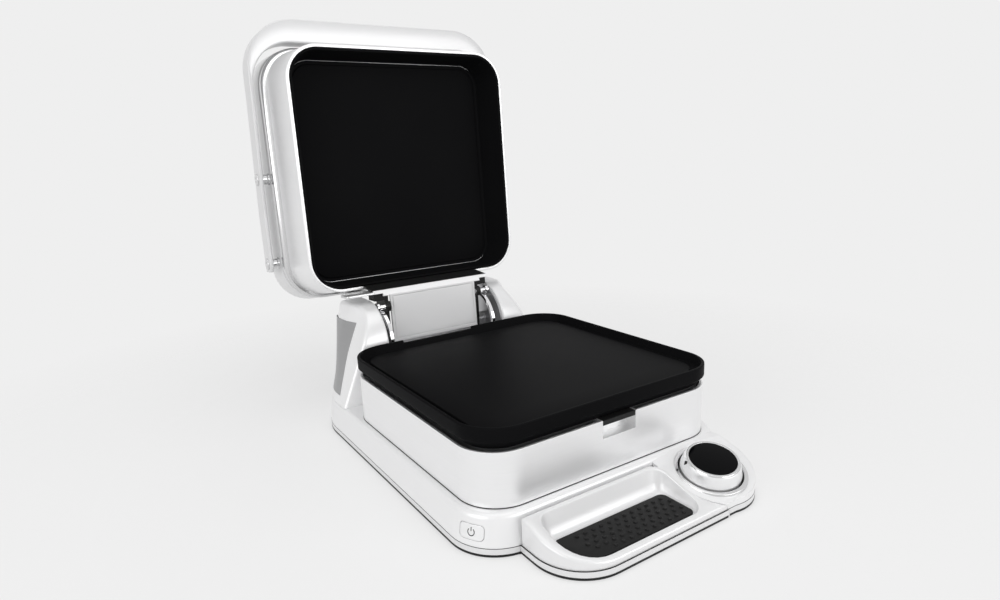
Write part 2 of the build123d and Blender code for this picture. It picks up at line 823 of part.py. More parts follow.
# Lower cooking unit
def make_lower_plate():
    band_low = plate_top - lower_band
    plate = square_block(half, plate_corner, band_low, plate_top)
    foot = half - lower_skirt_inset
    plate += leaning_block(
        (foot, foot), (half, half), plate_corner - lower_skirt_inset, plate_corner, lower_plate_bottom, band_low
    )
    surface = plate_top - lower_surface_drop
    inner = half - rim_width
    plate -= square_block(inner, plate_corner - rim_width, surface, plate_top + 1)
    groove = square_block(inner, plate_corner - rim_width, surface - groove_depth, surface + 1)
    groove -= square_block(
        inner - groove_width, plate_corner - rim_width - groove_width, surface - groove_depth - 1, surface + 2
    )
    plate -= groove
    pocket = half - lower_skirt_inset - plate_floor - 1
    plate -= square_block(pocket, plate_corner - lower_skirt_inset - 6, 0, surface - plate_floor)
    spout = box_between(
        spout_left, spout_right, half - rim_width - 1, half + 1, plate_top - spout_drop, plate_top + 1
    )
    return plate - spout


def make_lower_housing():
    housing = square_block(housing_half, housing_corner, base_top + 0.05, housing_top)
    inner = housing_half - housing_wall
    housing -= square_block(inner, housing_corner - housing_wall, 0, housing_top + 1)
    liner = box_between(
        recess_left - housing_wall, recess_right + housing_wall, -housing_half + housing_wall / 2,
        -housing_half + recess_depth + housing_wall, recess_bottom - housing_wall, housing_top,
    )
    recess = box_between(
        recess_left, recess_right, -housing_half - 1, -housing_half + recess_depth, recess_bottom, housing_top + 1
    )
    window = box_between(
        recess_left + tail_inset - tab_gap, recess_right - tail_inset + tab_gap, -housing_half,
        -housing_half + recess_depth + 2 * housing_wall, housing_top - tab_height - tab_gap, housing_top + 1,
    )
    return housing + liner - recess - window


def lower_tail_end():
    return -housing_half + recess_depth + housing_wall + tail_reach


def make_lower_release():
    """Release tab with a narrower tail that reaches through the liner to its spring."""
    front = -housing_half + seat_gap
    low = housing_top - tab_height
    tab = box_between(
        recess_left + tab_gap, recess_right - tab_gap, front, front + recess_depth - tab_travel - 1,
        low, low + tab_height - tab_gap,
    )
    tab = fillet(tab.edges().filter_by(Axis.X).group_by(Axis.Y)[0].sort_by(Axis.Z)[0], 1.2)
    tail = box_between(
        recess_left + tail_inset, recess_right - tail_inset, front + 1, lower_tail_end(),
        low + tail_step, low + tab_height - tab_gap - tail_step,
    )
    return tab + tail


def make_lower_release_spring():
    start = lower_tail_end() + release_spring_wire / 2 + contact_gap
    coil = spring(release_spring_radius, release_spring_wire, spring_turns, lower_spring_length)
    middle = (recess_left + recess_right) / 2
    return Pos(middle, start, housing_top - (tab_height + tab_gap) / 2) * (Rot(-90, 0, 0) * coil)


def make_lower_reflector():
    outer = housing_half - housing_wall - seat_gap
    corner = housing_corner - housing_wall - seat_gap
    low = housing_top - lower_pan_depth
    pan = square_block(outer, corner, low, housing_top)
    pan -= square_block(outer - reflector_wall, corner - reflector_wall, low + reflector_wall, housing_top + 1)
    seat = half - lower_skirt_inset - 1.0
    ring = square_block(seat, plate_corner - 10, low, housing_top)
    ring -= square_block(seat - 3, plate_corner - 13, low - 1, housing_top + 1)
    pan += ring
    spring_end = lower_tail_end() + lower_spring_length + release_spring_wire + 2 * contact_gap
    pan -= box_between(
        recess_left - 4, recess_right + 4, -housing_half, spring_end, low - 1, housing_top + 1
    )
    middle = (recess_left + recess_right) / 2
    pan += box_between(
        middle - tab_height, middle + tab_height, spring_end, spring_end + reflector_wall, low, housing_top
    )
    return pan - Pos(0, 0, low) * Cylinder(sensor_radius - 3, lower_pan_depth)


def make_lower_sensor():
    low = housing_top - lower_pan_depth + reflector_wall
    high = plate_top - lower_surface_drop - plate_floor - heater_gap
    body = Pos(0, 0, (low + high) / 2) * Cylinder(sensor_radius, high - low)
    stem = Pos(0, 0, low - 4) * Cylinder(sensor_radius - 3.2, 10)
    return body + stem


def heater_tube(z):
    """Round heating element bent into an open square loop."""
    span = heater_half_span
    points = [
        (-heater_end, span), (-span, span), (-span, -span), (span, -span), (span, span), (heater_end, span),
    ]
    path = Pos(0, 0, z) * FilletPolyline(*points, radius=heater_bend)
    section = Plane(origin=path @ 0, z_dir=path % 0) * Circle(heater_radius)
    tube = sweep(section, path=path)
    for side in (-1, 1):
        tube += Pos(side * heater_end, span, z) * Cylinder(heater_radius + 0.6, 2 * heater_radius + 0.2)
    return tube


def make_lower_heater():
    z = plate_top - lower_surface_drop - plate_floor - heater_gap - heater_radius - 0.3
    return heater_tube(z)


# Upper cooking unit and lid, drawn shut
def make_upper_plate():
    """Deep dish with leaning walls and a shallow groove round its floor."""
    mouth = half - upper_rim_width
    mouth_round = upper_corner - upper_rim_width
    deep = (mouth - upper_side_draft, mouth - upper_end_draft)
    deep_round = mouth_round - upper_end_draft
    surface = rim_plane + upper_depth
    band_top = rim_plane + upper_band
    back = (deep[0] + upper_wall, deep[1] + upper_wall)
    plate = square_block(half, upper_corner, rim_plane, band_top)
    plate += leaning_block(
        (half, half), back, upper_corner, deep_round + upper_wall, band_top, surface + upper_floor
    )
    plate -= leaning_block((mouth, mouth), deep, mouth_round, deep_round, rim_plane, surface)
    groove_low = surface - upper_groove_depth
    groove_high = surface + upper_groove_depth
    groove = leaning_block(deep, deep, deep_round, deep_round, groove_low, groove_high)
    shelf = (deep[0] - upper_groove_width, deep[1] - upper_groove_width)
    shelf_round = deep_round - upper_groove_width
    groove -= leaning_block(shelf, shelf, shelf_round, shelf_round, groove_low - 1, groove_high + 1)
    return swing_open(plate - groove)


def box_block(inset, low, high):
    """The lid's box as a solid, reduced by an inset on its sides."""
    faces = []
    for z in (low, high):
        share = (z - rim_plane) / box_height
        margins = [
            start + (end - start) * share - inset
            for start, end in ((mouth_side, box_side), (mouth_front, box_front), (mouth_rear, box_rear))
        ]
        corner = mouth_corner + (box_corner - mouth_corner) * share - inset
        faces.append(lid_section(z, *margins, corner).face())
    return loft(faces, ruled=True)


def release_front(above_rim):
    """Front face of the lid's box at a height above its rim."""
    return -half - mouth_front - (box_front - mouth_front) * above_rim / box_height


def make_upper_housing():
    low = rim_plane + 0.5
    shell = box_block(0, low, box_back) - box_block(housing_wall, low - 0.01, box_back + 1)
    lip = box_block(0.4, low, low + 2)
    lip -= square_block(half + 0.8, upper_corner + 0.8, low - 1, low + 3)
    shell += lip
    shell -= box_between(
        -bracket_half_width - 0.5, bracket_half_width + 0.5, half - 2,
        bracket_front + bracket_thickness + 0.3, low - 1, low + 4,
    )
    front = release_front(pocket_low)
    window = box_between(
        recess_left, recess_right, front - 8, front + 8, rim_plane + pocket_low, rim_plane + pocket_high
    )
    return swing_open(shell - window)


def make_release_pocket():
    """Moulded pocket in the window of the upper release tab."""
    left = recess_left + tab_gap
    right = recess_right - tab_gap
    front = release_front(pocket_low) + housing_wall
    low = rim_plane + pocket_low + tab_gap
    high = rim_plane + pocket_high - tab_gap
    outer = box_between(left, right, front, front + pocket_depth, low, high)
    inner = box_between(
        left + pocket_wall, right - pocket_wall, front - 1, front + pocket_depth - pocket_wall,
        low + pocket_wall, high - pocket_wall,
    )
    way = box_between(
        left + tail_inset - tab_gap, right - tail_inset + tab_gap, front, front + 2 * pocket_depth,
        low + pocket_wall + tail_step - tab_gap, low + pocket_wall + tab_height - tail_step + tab_gap,
    )
    flange = box_between(
        left - 2 * pocket_wall, right + 2 * pocket_wall, front + 2 * pocket_wall, front + 3 * pocket_wall,
        high - pocket_wall, high + 2 * pocket_wall,
    )
    return swing_open(outer + flange - inner - way)


def upper_tab_front():
    return release_front(pocket_low) + seat_gap


def make_upper_release():
    left = recess_left + tab_gap + pocket_wall + tab_gap
    right = recess_right - tab_gap - pocket_wall - tab_gap
    front = upper_tab_front()
    low = rim_plane + pocket_low + tab_gap + pocket_wall + tab_gap
    rear = front + tab_thickness
    tab = box_between(left, right, front, rear, low, low + tab_height)
    tail = box_between(
        left + tail_inset, right - tail_inset, rear - 1, upper_tail_end(),
        low + tail_step, low + tab_height - 2 * tab_gap - tail_step,
    )
    return swing_open(tab + tail)


def upper_tail_end():
    return release_front(pocket_low) + housing_wall + pocket_depth + tail_reach


def make_upper_release_spring():
    start = upper_tail_end() + release_spring_wire / 2 + contact_gap
    end = -half + upper_pan_inset - release_spring_wire / 2 - contact_gap
    middle = (recess_left + recess_right) / 2
    low = rim_plane + pocket_low + 2 * tab_gap + pocket_wall
    z = low + tab_height / 2 - tab_gap
    coil = spring(release_spring_radius, release_spring_wire, spring_turns, end - start)
    return swing_open(Pos(middle, start, z) * (Rot(-90, 0, 0) * coil))


def make_upper_reflector():
    low = rim_plane + upper_depth + upper_floor + seat_gap
    high = low + upper_pan_depth
    outer = half - upper_pan_inset
    corner = upper_corner - upper_pan_inset
    pan = square_block(outer, corner, low, high)
    pan -= square_block(outer - reflector_wall, corner - reflector_wall, low - 1, high - reflector_wall)
    pan += box_block(housing_wall + seat_gap, high - reflector_wall, high)
    flange_cut = 2 * reflector_wall
    pan -= box_between(
        -bracket_half_width - 1, bracket_half_width + 1, half - seat_gap, half + 2 * box_rear,
        high - flange_cut, high + flange_cut,
    )
    pan -= box_between(
        recess_left - 3 * pocket_wall, recess_right + 3 * pocket_wall, -half - 2 * box_front, -outer,
        high - flange_cut, high + flange_cut,
    )
    return swing_open(pan - Pos(0, 0, high) * Cylinder(sensor_radius - 3, upper_pan_depth / 2))


def make_upper_heater():
    z = rim_plane + upper_depth + upper_floor + heater_gap + heater_radius + 0.3
    return swing_open(heater_tube(z))


def make_upper_sensor():
    low = rim_plane + upper_depth + upper_floor + heater_gap
    high = rim_plane + upper_depth + upper_floor + seat_gap + upper_pan_depth - reflector_wall
    body = Pos(0, 0, (low + high) / 2) * Cylinder(sensor_radius, high - low)
    stem = Pos(0, 0, high + 4) * Cylinder(sensor_radius - 3.2, 10)
    return swing_open(body + stem)


def make_lid_trim():
    section = lid_section(box_back, trim_side, trim_front, trim_rear, trim_corner)
    ring = extrude(section, trim_height)
    ring = fillet(ring.edges().group_by(Axis.Z)[0], trim_rounding)
    hollow = lid_section(box_back - 1, box_side - 3, box_front - 3, box_rear - 3, box_corner - 3)
    ring -= extrude(hollow, trim_height + 2)
    return swing_open(ring)


def lid_cover_block(inset, low):
    top = cover_start + lid_cover_height - inset
    faces = []
    for z in (low, top):
        share = (z - cover_start) / lid_cover_height
        margins = [
            start + (end - start) * share - inset
            for start, end in ((cover_side, swell_side), (cover_front, swell_front), (cover_rear, swell_rear))
        ]
        corner = cover_corner + (swell_corner - cover_corner) * share - inset
        faces.append(lid_section(z, *margins, corner).face())
    body = loft(faces, ruled=True)
    crown = Pos(0, 0, top - lid_crown_radius) * Sphere(lid_crown_radius)
    body = body & crown
    return fillet(body.faces().sort_by(Axis.Z)[-1].edges(), lid_cover_round - inset)


def cover_side_at(z):
    """Half width of the lid's cover at a height, lid shut."""
    share = (z - cover_start) / lid_cover_height
    return half + cover_side + (swell_side - cover_side) * share


def make_lid_cover():
    cover = lid_cover_block(0, cover_start) - lid_cover_block(lid_cover_wall, cover_start - 1)
    depth = screw_shank_length - (handle_arm_gap + handle_thickness - cover_side)
    for y in handle_screws_at:
        z = handle_middle(y)
        for side in (-1, 1):
            wall = cover_side_at(z) - lid_cover_wall / 2
            ends = (side * wall, side * (wall - depth))
            cover += rod_along_x(min(ends), max(ends), y, z, screw_boss_radius)
            cover -= rod_along_x(-side * half, side * 2 * half, y, z, screw_shank_radius)
    return swing_open(cover)


def handle_sketch(inset):
    """The handle from above: a U with round corners."""
    inner_x = half + handle_arm_gap + inset
    outer_x = half + handle_arm_gap + handle_thickness - inset
    inner_front = -half - handle_bar_gap - inset
    outer_front = -half - handle_bar_gap - handle_bar_depth + inset
    end = handle_arm_end - inset
    outer = outline(-outer_x, outer_x, outer_front, end, handle_corner - inset, 0.1)
    inner = outline(-inner_x, inner_x, inner_front, end + handle_width, handle_inner_corner + inset, 0.1)
    return outer - inner


def handle_edge(y):
    """Height of the band's near edge above the rims, at a place along the lid."""
    share = (handle_bend_rear - y) / (handle_bend_rear - handle_bend_front)
    share = min(max(share, 0.0), 1.0)
    return handle_start + (handle_bar_start - handle_start) * share


def handle_middle(y):
    """Height of the band's middle above the shut lid's table, at a place along the lid."""
    return rim_plane + handle_edge(y) + handle_width / 2


def handle_band(inset):
    """The handle from the side: a band that bends forwards, as a wide prism."""
    front = -half - handle_bar_gap - 2 * handle_bar_depth
    places = (handle_arm_end - inset, handle_bend_rear, handle_bend_front, front)
    near = [(y, rim_plane + handle_edge(y) + inset) for y in places]
    far = [(y, z + handle_width - 2 * inset) for y, z in reversed(near)]
    profile = make_face(Polyline(*near, *far, close=True))
    end_corner = profile.vertices().sort_by_distance((*near[0], 0))[0]
    profile = fillet(end_corner, handle_end_round)
    reach = half + handle_arm_gap + 2 * handle_thickness
    return extrude(Pos(-reach, 0, 0) * (Plane.YZ * profile), 2 * reach)


def handle_solid(inset):
    flat = Pos(0, 0, rim_plane) * extrude(handle_sketch(inset), handle_start + 3 * handle_width)
    return flat & handle_band(inset)


def bar_block(growth):
    """Space inside the handle's front bar, grown or shrunk by an amount."""
    solid = handle_solid(handle_wall - growth)
    limit = half - handle_bar_margin + growth
    rear = -half - handle_bar_gap
    low = rim_plane + handle_bar_start
    return solid & box_between(-limit, limit, rear - 2 * handle_bar_depth, rear + 1, low, low + 2 * handle_width)


def make_handle():
    handle = handle_solid(0)
    pocket = bar_block(0)
    handle -= pocket
    handle -= Pos(0, 0, handle_wall) * pocket
    for y in handle_screws_at:
        for side in (-1, 1):
            x = side * (half + handle_arm_gap + handle_thickness / 2)
            hole = screw_shank_radius + screw_play
            handle -= rod_along_x(x - handle_thickness, x + handle_thickness, y, handle_middle(y), hole)
    return swing_open(handle)


def make_handle_cover():
    """Long strip that closes the bar's hollow from behind."""
    strip = Pos(0, 0, handle_wall) * bar_block(-handle_cover_gap) - bar_block(handle_cover_gap)
    return swing_open(strip)


def make_handle_spacers():
    pieces = []
    outer = half + handle_arm_gap
    lid = lid_cover_block(0, cover_start)
    trim = extrude(lid_section(box_back, trim_side, trim_front, trim_rear, trim_corner), trim_height)
    for y in handle_screws_at:
        z = handle_middle(y)
        inner = cover_side_at(z) - 1
        spacer = rod_along_x(inner, outer, y, z, spacer_radius) - lid - trim
        spacer -= rod_along_x(inner - 1, outer + 1, y, z, screw_shank_radius + screw_play)
        pieces.extend(both_sides(spacer))
    return swing_open(group(pieces))


def make_handle_screws():
    pieces = []
    face = half + handle_arm_gap + handle_thickness
    for y in handle_screws_at:
        z = handle_middle(y)
        head = rod_along_x(face, face + screw_head_height, y, z, screw_head_radius)
        head = fillet(head.edges().sort_by(Axis.X)[-1], screw_head_height / 2)
        socket = extrude(RegularPolygon(screw_socket_radius, 6), screw_head_height / 2, both=True)
        head -= Pos(face + screw_head_height, y, z) * (Rot(0, 90, 0) * socket)
        shank = rod_along_x(face - screw_shank_length, face, y, z, screw_shank_radius - 0.02)
        pieces.extend(both_sides(head + shank))
    return swing_open(group(pieces))


# Tray, mat
def below_tray_top(drop, z_low):
    """Wedge under the tray's sloping rim, lowered by an amount."""
    rear = base_front + 40
    front = tray_front - 40
    rear_top = tray_rim_rear - drop + (rear - tray_back) * tray_tan
    front_top = tray_rim_rear - drop + (front - tray_back) * tray_tan
    profile = make_face(Polyline(
        (front, z_low), (rear, z_low), (rear, rear_top), (front, max(front_top, z_low + 0.5)), close=True,
    ))
    return extrude(Pos(-200, 0, 0) * (Plane.YZ * profile), 400)


def basin_outline(growth):
    return outline(
        basin_left - growth, basin_right + growth, basin_front - growth, basin_rear + growth,
        basin_front_corner + growth, basin_corner + growth, basin_corner + growth, basin_corner + growth,
    )


def make_drip_tray():
    low = pan_top + seat_gap
    block = Pos(0, 0, low) * extrude(tray_outline(0), 60)
    block = block & below_tray_top(0, low)
    basin = Pos(0, 0, basin_floor) * extrude(basin_outline(0), 60)
    basin = fillet(basin.edges().group_by(Axis.Z)[0], basin_round)
    tray = block - basin
    under = Pos(0, 0, low - 1) * extrude(tray_outline(-tray_wall), 60)
    under = under & below_tray_top(tray_wall, low - 1)
    kept = Pos(0, 0, low - 2) * extrude(basin_outline(tray_wall), 60)
    tray = tray - (under - kept)
    return tray


def make_tray_mat():
    mat = Pos(0, 0, basin_floor + 0.05) * extrude(basin_outline(-mat_margin), mat_thickness)
    top = basin_floor + 0.05 + mat_thickness
    rows = 4
    columns = 11
    middle_x = (basin_left + basin_right) / 2
    middle_y = (basin_front + basin_rear) / 2
    cuts = []
    for row in range(rows):
        for column in range(columns):
            shift = 0.5 if row % 2 else 0.0
            x = middle_x + (column - (columns - 1) / 2 + shift - 0.25) * dimple_pitch
            y = middle_y + (row - (rows - 1) / 2) * dimple_pitch * 0.86
            cuts.append(Pos(x, y, top) * Cylinder(dimple_radius, 2 * dimple_depth))
    return mat - cuts


# Knob
def ring_about_knob(outer, inner, low, high):
    ring = Pos(0, 0, (low + high) / 2) * Cylinder(outer, high - low)
    if inner:
        ring -= Pos(0, 0, (low + high) / 2) * Cylinder(inner, high - low + 2)
    return ring


def make_knob_collar():
    ring = ring_about_knob(collar_outer, collar_inner, -collar_depth, collar_lip)
    ring = fillet(ring.edges().group_by(Axis.Z)[-1], 0.9)
    floor = ring_about_knob(collar_inner + 1, 6.0, -collar_depth, -collar_depth + 2)
    return knob_plane * (ring + floor)


def make_display_pod():
    low = -collar_depth + 2
    high = knob_height - glass_thickness - 0.4
    pod = ring_about_knob(glass_radius, glass_radius - 2.0, low, high)
    pod += ring_about_knob(glass_radius, 5.0, high - 2.0, high)
    return knob_plane * pod


def make_display_glass():
    high = knob_height - 0.4
    glass = ring_about_knob(glass_radius, 0, high - glass_thickness, high)
    glass = fillet(glass.edges().group_by(Axis.Z)[-1], 0.5)
    return knob_plane * glass


def make_display_board():
    low = knob_height - 0.4 - glass_thickness - 2.0 - 1.6
    board = ring_about_knob(glass_radius - 2.3, 0, low, low + 1.6)
    board += Pos(0, 0, low - 2) * Box(16, 12, 4)
    return knob_plane * board


def make_knob_ring():
    inner = glass_radius + knob_running_gap
    profile = make_face(Polyline(
        (inner, knob_foot), (knob_ring_radius - 1.5, knob_foot), (knob_ring_radius, knob_foot + 3),
        (knob_ring_radius, 3.0), (knob_top_radius + 1.2, knob_height - 1.4), (knob_top_radius, knob_height),
        (inner, knob_height), close=True,
    ))
    ring = revolve(Plane.XZ * profile, Axis.Z, 360)
    return knob_plane * ring


def make_encoder_rotor():
    inner = glass_radius + knob_running_gap
    rotor = ring_about_knob(knob_ring_radius - 2, inner, knob_foot - 1.6, knob_foot)
    return knob_plane * rotor


def make_control_board():
    board = Pos(0, 6, -collar_depth - 1.0) * Box(44, 28, 1.6)
    board += Pos(12, 10, -collar_depth - 2.8) * Box(12, 12, 3)
    board += Pos(-13, 9, -collar_depth - 3.0) * Box(8, 12, 3)
    return knob_plane * (board - Cylinder(5, 100))


# Power button
def button_plane():
    """Plane at the corner wall, its Z pointing outwards."""
    angle = math.radians(180 + button_angle)
    share = (button_z - pan_top) / (base_top - pan_top)
    lean = base_draft * share
    radius = base_front_corner - lean
    centre_x = -base_half_width + base_front_corner
    centre_y = base_front + base_front_corner
    out = Vector(math.cos(angle), math.sin(angle), 0)
    origin = (centre_x + radius * out.X, centre_y + radius * out.Y, button_z)
    along = Vector(-math.sin(angle), math.cos(angle), 0)
    return Plane(origin=origin, x_dir=along, z_dir=out)


def button_prism(shrink, depth):
    face = RectangleRounded(button_width - 2 * shrink, button_height - 2 * shrink, button_corner - shrink)
    return button_plane() * (Pos(0, 0, -depth / 2) * extrude(face, depth))


def make_power_button():
    wall = main_body(0, pan_top, base_top) - main_body(button_thickness, pan_top, base_top - 0.5)
    cap = button_prism(button_gap, 30) & wall
    cap = cap.solids().sort_by(Axis.Y)[0]
    stem_middle = 0.5 - button_thickness - button_stem / 2
    stem = button_plane() * (Pos(0, 0, stem_middle) * Box(6, 6, button_stem))
    return Part() + cap + stem


def make_power_switch():
    face = 0.5 - button_thickness - button_stem - button_travel - contact_gap
    body = Pos(0, 0, face - 3.5) * Box(14, 14, 7)
    back = Pos(0, 0, face - 7.8) * Box(24, 18, 1.6)
    floor = pan_bottom + pan_floor
    post_height = button_z - floor
    post = Pos(0, -post_height / 2, face - 9.0) * Box(12, post_height, 3)
    return button_plane() * (body + back + post)


# Power electronics in the base
def make_power_board():
    floor = pan_bottom + pan_floor
    low = floor + board_lift
    top = low + board_thickness
    board = Pos(0, board_middle, (low + top) / 2) * Box(board_width, board_depth, board_thickness)
    side = board_width / 2 - board_post_radius - 1
    end = board_depth / 2 - board_post_radius - 1
    relay = Box(relay_width, relay_width, relay_height)
    for x, y in ((-side / 1.6, -end / 2), (-side / 1.6, end / 2), (0, -end / 1.6), (side / 1.6, -end / 2.5)):
        board += Pos(x, board_middle + y, top + relay_height / 2) * relay
    board += Pos(side / 6, board_middle + end / 2, top + relay_height / 2) * Cylinder(relay_width / 3, relay_height)
    for x in (-side, side):
        for y in (-end, end):
            board += Pos(x, board_middle + y, (floor + low) / 2) * Cylinder(board_post_radius, board_lift)
    return board


def make_terminal_block():
    floor = pan_bottom + pan_floor
    block = Box(terminal_width, terminal_depth, terminal_height)
    for share in (-0.3, 0, 0.3):
        hole = Cylinder(terminal_depth / 6, terminal_height / 2)
        block -= Pos(share * terminal_width, 0, terminal_height / 2) * hole
    middle = base_rear - gland_room
    return Pos(gland_x, middle, floor + terminal_height / 2) * block


def build_all():
    parts = {
        "base_pan": make_base_pan(),
        "base_feet": make_feet(),
        "base_screws": make_base_screws(),
        "base_shell": make_base_shell(),
        "tower_left": make_tower("left"),
        "tower_right": make_tower("right"),
        "tower_inlays": make_tower_inlays(),
        "rear_cover": make_rear_cover(),
        "cord_gland": make_cord_gland(),
        "hinge_brackets": make_hinge_brackets(),
        "hinge_pins": make_hinge_pins(),
        "hinge_cheeks": make_hinge_cheeks(),
        "guide_rails": make_guide_rails(),
        "lid_springs": make_lid_springs(),
        "lower_housing": make_lower_housing(),
        "lower_plate": make_lower_plate(),
        "lower_reflector": make_lower_reflector(),
        "lower_heater": make_lower_heater(),
        "lower_sensor": make_lower_sensor(),
        "lower_release": make_lower_release(),
        "lower_release_spring": make_lower_release_spring(),
        "power_board": make_power_board(),
        "terminal_block": make_terminal_block(),
        "control_board": make_control_board(),
        "knob_collar": make_knob_collar(),
        "display_pod": make_display_pod(),
        "display_board": make_display_board(),
        "display_glass": make_display_glass(),
        "knob_ring": make_knob_ring(),
        "encoder_rotor": make_encoder_rotor(),
        "power_button": make_power_button(),
        "power_switch": make_power_switch(),
        "drip_tray": make_drip_tray(),
        "tray_mat": make_tray_mat(),
        "hinge_bracket": make_hinge_bracket(),
        "hinge_arms": make_hinge_arms(),
        "hinge_bushes": make_hinge_bushes(),
        "guide_pins": make_guide_pins(),
        "hinge_cover": make_hinge_cover(),
        "hinge_panel": make_hinge_panel(),
        "upper_housing": make_upper_housing(),
        "release_pocket": make_release_pocket(),
        "upper_release": make_upper_release(),
        "upper_release_spring": make_upper_release_spring(),
        "upper_plate": make_upper_plate(),
        "upper_reflector": make_upper_reflector(),
        "upper_heater": make_upper_heater(),
        "upper_sensor": make_upper_sensor(),
        "lid_trim": make_lid_trim(),
        "lid_cover": make_lid_cover(),
        "handle": make_handle(),
        "handle_cover": make_handle_cover(),
        "handle_spacers": make_handle_spacers(),
        "handle_screws": make_handle_screws(),
    }
    return parts


def main():
    parts = build_all()
    boxes = [part.bounding_box() for part in parts.values()]
    front = min(box.min.Y for box in boxes)
    back = max(box.max.Y for box in boxes)
    shift = -(front + back) / 2
    os.makedirs("parts", exist_ok=True)
    for name, part in parts.items():
        export_step(Pos(0, shift, 0) * part, f"parts/{name}.step")
    button = button_plane()
    print(f"shift in Y: {shift:.4f}")
    print(f"hinge axis: y {hinge_y + shift:.4f} z {hinge_z:.4f}")
    print(f"knob: x {knob_x:.3f} y {knob_y + shift:.4f} z {knob_seat_z:.3f} axis {knob_axis}")
    print(f"button axis: {button.z_dir}")
    print(f"gland: x {gland_x:.2f} y {base_rear + shift:.4f} z {gland_z:.2f}")


if __name__ == "__main__":
    main()
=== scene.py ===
# %% [markdown]
# # A contact grill with its lid standing open
# A contact grill presses food between two hot plates. Its CAD model is loaded first and stays fixed: it
# says where every body is and how it moves. Most of what the camera sees is then built again here as
# smoother pieces with rounded edges, each riding on the CAD body it belongs to. The last cells make the
# materials, the lights and the camera.

# %% Load the CAD model
import json
import math
import bmesh
import bpy
from mathutils import Euler, Matrix, Vector


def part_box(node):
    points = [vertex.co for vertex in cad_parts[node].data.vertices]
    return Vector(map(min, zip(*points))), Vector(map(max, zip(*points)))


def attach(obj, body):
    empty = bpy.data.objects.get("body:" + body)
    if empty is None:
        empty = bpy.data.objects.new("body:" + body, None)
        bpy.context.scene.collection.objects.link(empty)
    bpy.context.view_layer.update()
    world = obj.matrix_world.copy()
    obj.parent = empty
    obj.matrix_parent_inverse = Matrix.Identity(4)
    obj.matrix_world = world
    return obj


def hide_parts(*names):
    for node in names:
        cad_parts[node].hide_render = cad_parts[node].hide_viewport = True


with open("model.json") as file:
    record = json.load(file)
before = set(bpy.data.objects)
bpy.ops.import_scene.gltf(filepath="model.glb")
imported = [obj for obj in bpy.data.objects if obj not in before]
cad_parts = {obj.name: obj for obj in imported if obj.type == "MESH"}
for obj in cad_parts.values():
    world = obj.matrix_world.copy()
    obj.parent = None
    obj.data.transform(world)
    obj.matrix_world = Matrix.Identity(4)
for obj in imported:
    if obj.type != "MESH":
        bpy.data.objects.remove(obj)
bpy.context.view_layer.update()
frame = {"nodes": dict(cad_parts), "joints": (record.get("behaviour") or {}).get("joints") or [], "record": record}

# %% [markdown]
# ## Where things are
# All sizes below are in millimetres, measured from the middle of the lower plate at the height of its
# rim. The pieces of the lid are drawn shut, where they are easy to measure against the lower plate, and
# one matrix then swings them open about the hinge.

# %% Where things are
MM = 1000  # millimetres in a metre
plate_low, plate_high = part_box("lower_plate")
feet_low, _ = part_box("base_feet")
origin = Vector(((plate_low.x + plate_high.x) / 2, (plate_low.y + plate_high.y) / 2, plate_high.z))
HALF = round((plate_high.x - plate_low.x) / 2 * MM, 2)  # half the width of the square plates
TABLE = round((feet_low.z - plate_high.z) * MM, 2)  # height of the table
RIM = 0.6  # height of the upper plate's rim when the lid is shut
joint = {j["name"]: j for j in frame["joints"]}
hinge_at = (Vector(joint["lid_hinge"]["pos_m"]) - origin) * MM
open_angle = math.radians(joint["lid_hinge"]["range_deg"][1])
swing = Matrix.Translation(hinge_at) @ Matrix.Rotation(-open_angle, 4, "X") @ Matrix.Translation(-hinge_at)
still = Matrix.Identity(4)
to_metres = Matrix.Translation(origin) @ Matrix.Diagonal((1 / MM, 1 / MM, 1 / MM, 1))
print("half a plate:", HALF, "table:", TABLE, "hinge:", [round(v, 2) for v in hinge_at])

# %% [markdown]
# ## Soft corners
# Pressed and cast metal has no sharp edge. A bevel modifier could round every edge of a finished mesh,
# but by the same amount. `fillet` rounds the corners of a flat line of points instead, each by its own
# radius, so that any profile drawn from a few corners gets the edges of the real piece.

# %% Round the corners of a line
def fillet(corners, steps=5):
    """Rounds a line of (a, b, radius) corners and returns plain (a, b) points."""
    out = []
    for i, (a, b, r) in enumerate(corners):
        if r <= 0 or i in (0, len(corners) - 1):
            out.append((a, b))
            continue
        here = Vector((a, b))
        back = Vector(corners[i - 1][:2]) - here
        on = Vector(corners[i + 1][:2]) - here
        reach = min(r / math.tan(back.angle(on) / 2), 0.48 * back.length, 0.48 * on.length)
        start = here + back.normalized() * reach
        end = here + on.normalized() * reach
        for k in range(steps + 1):
            t = k / steps
            point = start.lerp(here, t).lerp(here.lerp(end, t), t)
            out.append((point.x, point.y))
    return out


print("a rounded corner has", len(fillet([(0, 0, 0), (9, 0, 2), (9, 9, 0)])) - 2, "points")

# %% [markdown]
# ## Rings
# Plates, box, cover and tray are all rectangles with rounded corners when seen from above. One ring of
# points round such a rectangle is therefore the building block of nearly every piece here. Each ring
# has the same number of points, so that two rings can be joined point by point.

# %% Ring round a rectangle
LEAST_RADIUS = 0.3


def rounded_ring(left, right, front, back, radii, z, steps=9, cuts=()):
    """Closed ring round a rectangle with rounded corners. `cuts` adds points along the rear edge."""
    if isinstance(radii, (int, float)):
        radii = (radii,) * 4
    r = [max(v, LEAST_RADIUS) for v in radii]
    middles = [
        (left + r[0], front + r[0], 180), (right - r[1], front + r[1], 270),
        (right - r[2], back - r[2], 0), (left + r[3], back - r[3], 90),
    ]
    points = []
    for corner, (x, y, start) in enumerate(middles):
        for k in range(steps + 1):
            a = math.radians(start + 90 * k / steps)
            points.append((x + r[corner] * math.cos(a), y + r[corner] * math.sin(a), z))
        if corner == 2:
            points.extend((c, back, z) for c in cuts)
    return points


